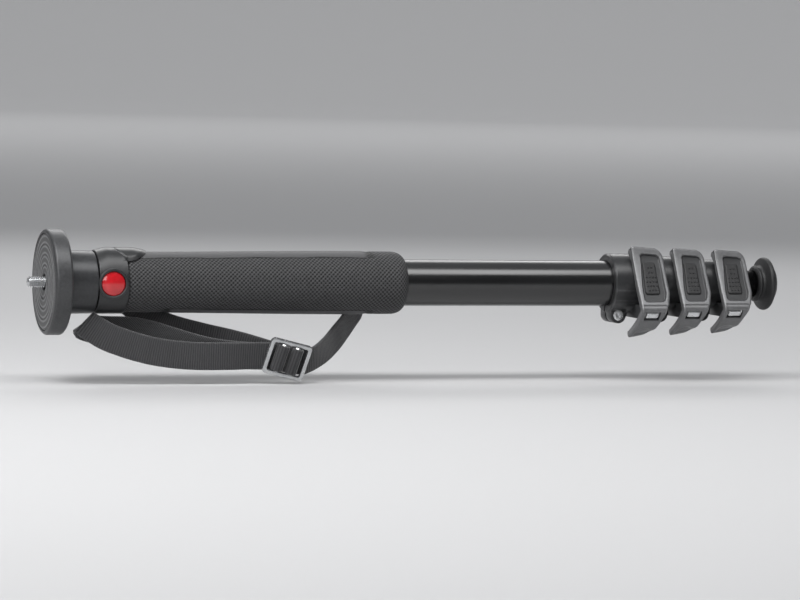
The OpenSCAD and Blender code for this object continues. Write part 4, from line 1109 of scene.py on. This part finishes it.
def dress_solids():
    for n in ("stud_grub_screw", "plate_screws", "strap_anchor_pin"):
        dress(n, STEEL, 0.15)
    for n in (2, 3, 4):
        dress("section_%d_tube" % n, TUBE, 0)
        dress("section_%d_top_bush" % n, PALE, 0.2)
    for k in (1, 2, 3):
        dress("lock_%d_collar" % k, MOULD, 0.35)
        dress("lock_%d_sleeve" % k, PALE, 0.15)
        for piece in ("fixing_screw", "fixing_nut", "lever_pin", "tension_screw", "tension_nut"):
            dress("lock_%d_%s" % (k, piece), STEEL, 0.2)
    dress("foot_plug", MOULD, 0.2)
    dress("buckle_bars", CAST, 0)


# ---- floor, backdrop and light: metres; the bowl is wide enough for views of the extended part ----
FLOOR_X, FLOOR_Z = 0.2, -0.0575
FLOOR_FLAT, FLOOR_SWEEP, WALL_TOP = 14.0, 7.0, 22.0
FLOOR_ROUND, SWEEP_STEPS, FLOOR_WELD = 96, 12, 1e-6


def build_stage():
    m, _, b = start_material("floor_pale")
    b.inputs["Base Color"].default_value = (0.52, 0.52, 0.525, 1)
    b.inputs["Roughness"].default_value = 0.75
    b.inputs["Specular IOR Level"].default_value = 0.2
    profile = [(0.0, 0.0), (1.0, 0.0), (2.5, 0.0), (5.0, 0.0), (FLOOR_FLAT, 0.0)]
    for k in range(1, SWEEP_STEPS + 1):
        a = math.pi / 2 * k / SWEEP_STEPS
        profile.append((FLOOR_FLAT + FLOOR_SWEEP * math.sin(a), FLOOR_SWEEP * (1 - math.cos(a))))
    profile.append((FLOOR_FLAT + FLOOR_SWEEP, WALL_TOP))
    verts = []
    for i in range(FLOOR_ROUND):
        a = TAU * i / FLOOR_ROUND
        verts += [(FLOOR_X + r * math.cos(a), r * math.sin(a), z + FLOOR_Z) for r, z in profile]
    mesh = bpy.data.meshes.new("floor")
    mesh.from_pydata(verts, [], grid_faces(FLOOR_ROUND, len(profile), 0, True, False))
    bm = bmesh.new()
    bm.from_mesh(mesh)
    bmesh.ops.remove_doubles(bm, verts=bm.verts, dist=FLOOR_WELD)
    bmesh.ops.recalc_face_normals(bm, faces=bm.faces)
    for f in bm.faces:
        f.smooth = True
        if f.normal.z < 0 and abs(f.normal.z) > 0.5:
            f.normal_flip()
    bm.to_mesh(mesh)
    bm.free()
    mesh.materials.append(m)
    floor = bpy.data.objects.new("floor", mesh)
    bpy.context.collection.objects.link(floor)


def lamp(name, at, aim, size, power):
    data = bpy.data.lights.new(name, "AREA")
    data.shape = "RECTANGLE"
    data.size, data.size_y = size
    data.energy = power
    ob = bpy.data.objects.new(name, data)
    ob.location = at
    ob.rotation_euler = (Vector(aim) - Vector(at)).to_track_quat("-Z", "Y").to_euler()
    ob.visible_camera = False
    bpy.context.collection.objects.link(ob)


def build_light():
    lamp("key", (0.1, -0.55, 1.15), (0.22, 0, 0), (1.8, 0.6), 14.0)
    lamp("front", (-0.75, -1.6, 0.6), (0.2, 0, -0.02), (0.9, 0.6), 7.0)
    lamp("edge", (-0.55, -0.4, 0.75), (0.0, 0, 0), (0.5, 0.5), 5.0)
    lamp("rear", (0.5, 1.4, 0.9), (0.2, 0, 0), (1.6, 0.35), 7.0)
    lamp("backdrop", (3.4, 8.5, 8.4), (4.6, 13.0, 0.0), (16.8, 8.4), 760.0)
    world = bpy.data.worlds.new("studio")
    bpy.context.scene.world = world
    world.use_nodes = True
    bg = world.node_tree.nodes["Background"]
    bg.inputs["Color"].default_value = (0.9, 0.92, 0.95, 1)
    bg.inputs["Strength"].default_value = 0.45
    bpy.context.scene.view_settings.view_transform = "Standard"


build_strap()
build_plate()
build_pad()
build_stud()
build_neck()
build_collar()
build_badge()
build_grip()
build_tube()
build_foot()
build_levers()
build_buckle()
dress_solids()
build_stage()
build_light()
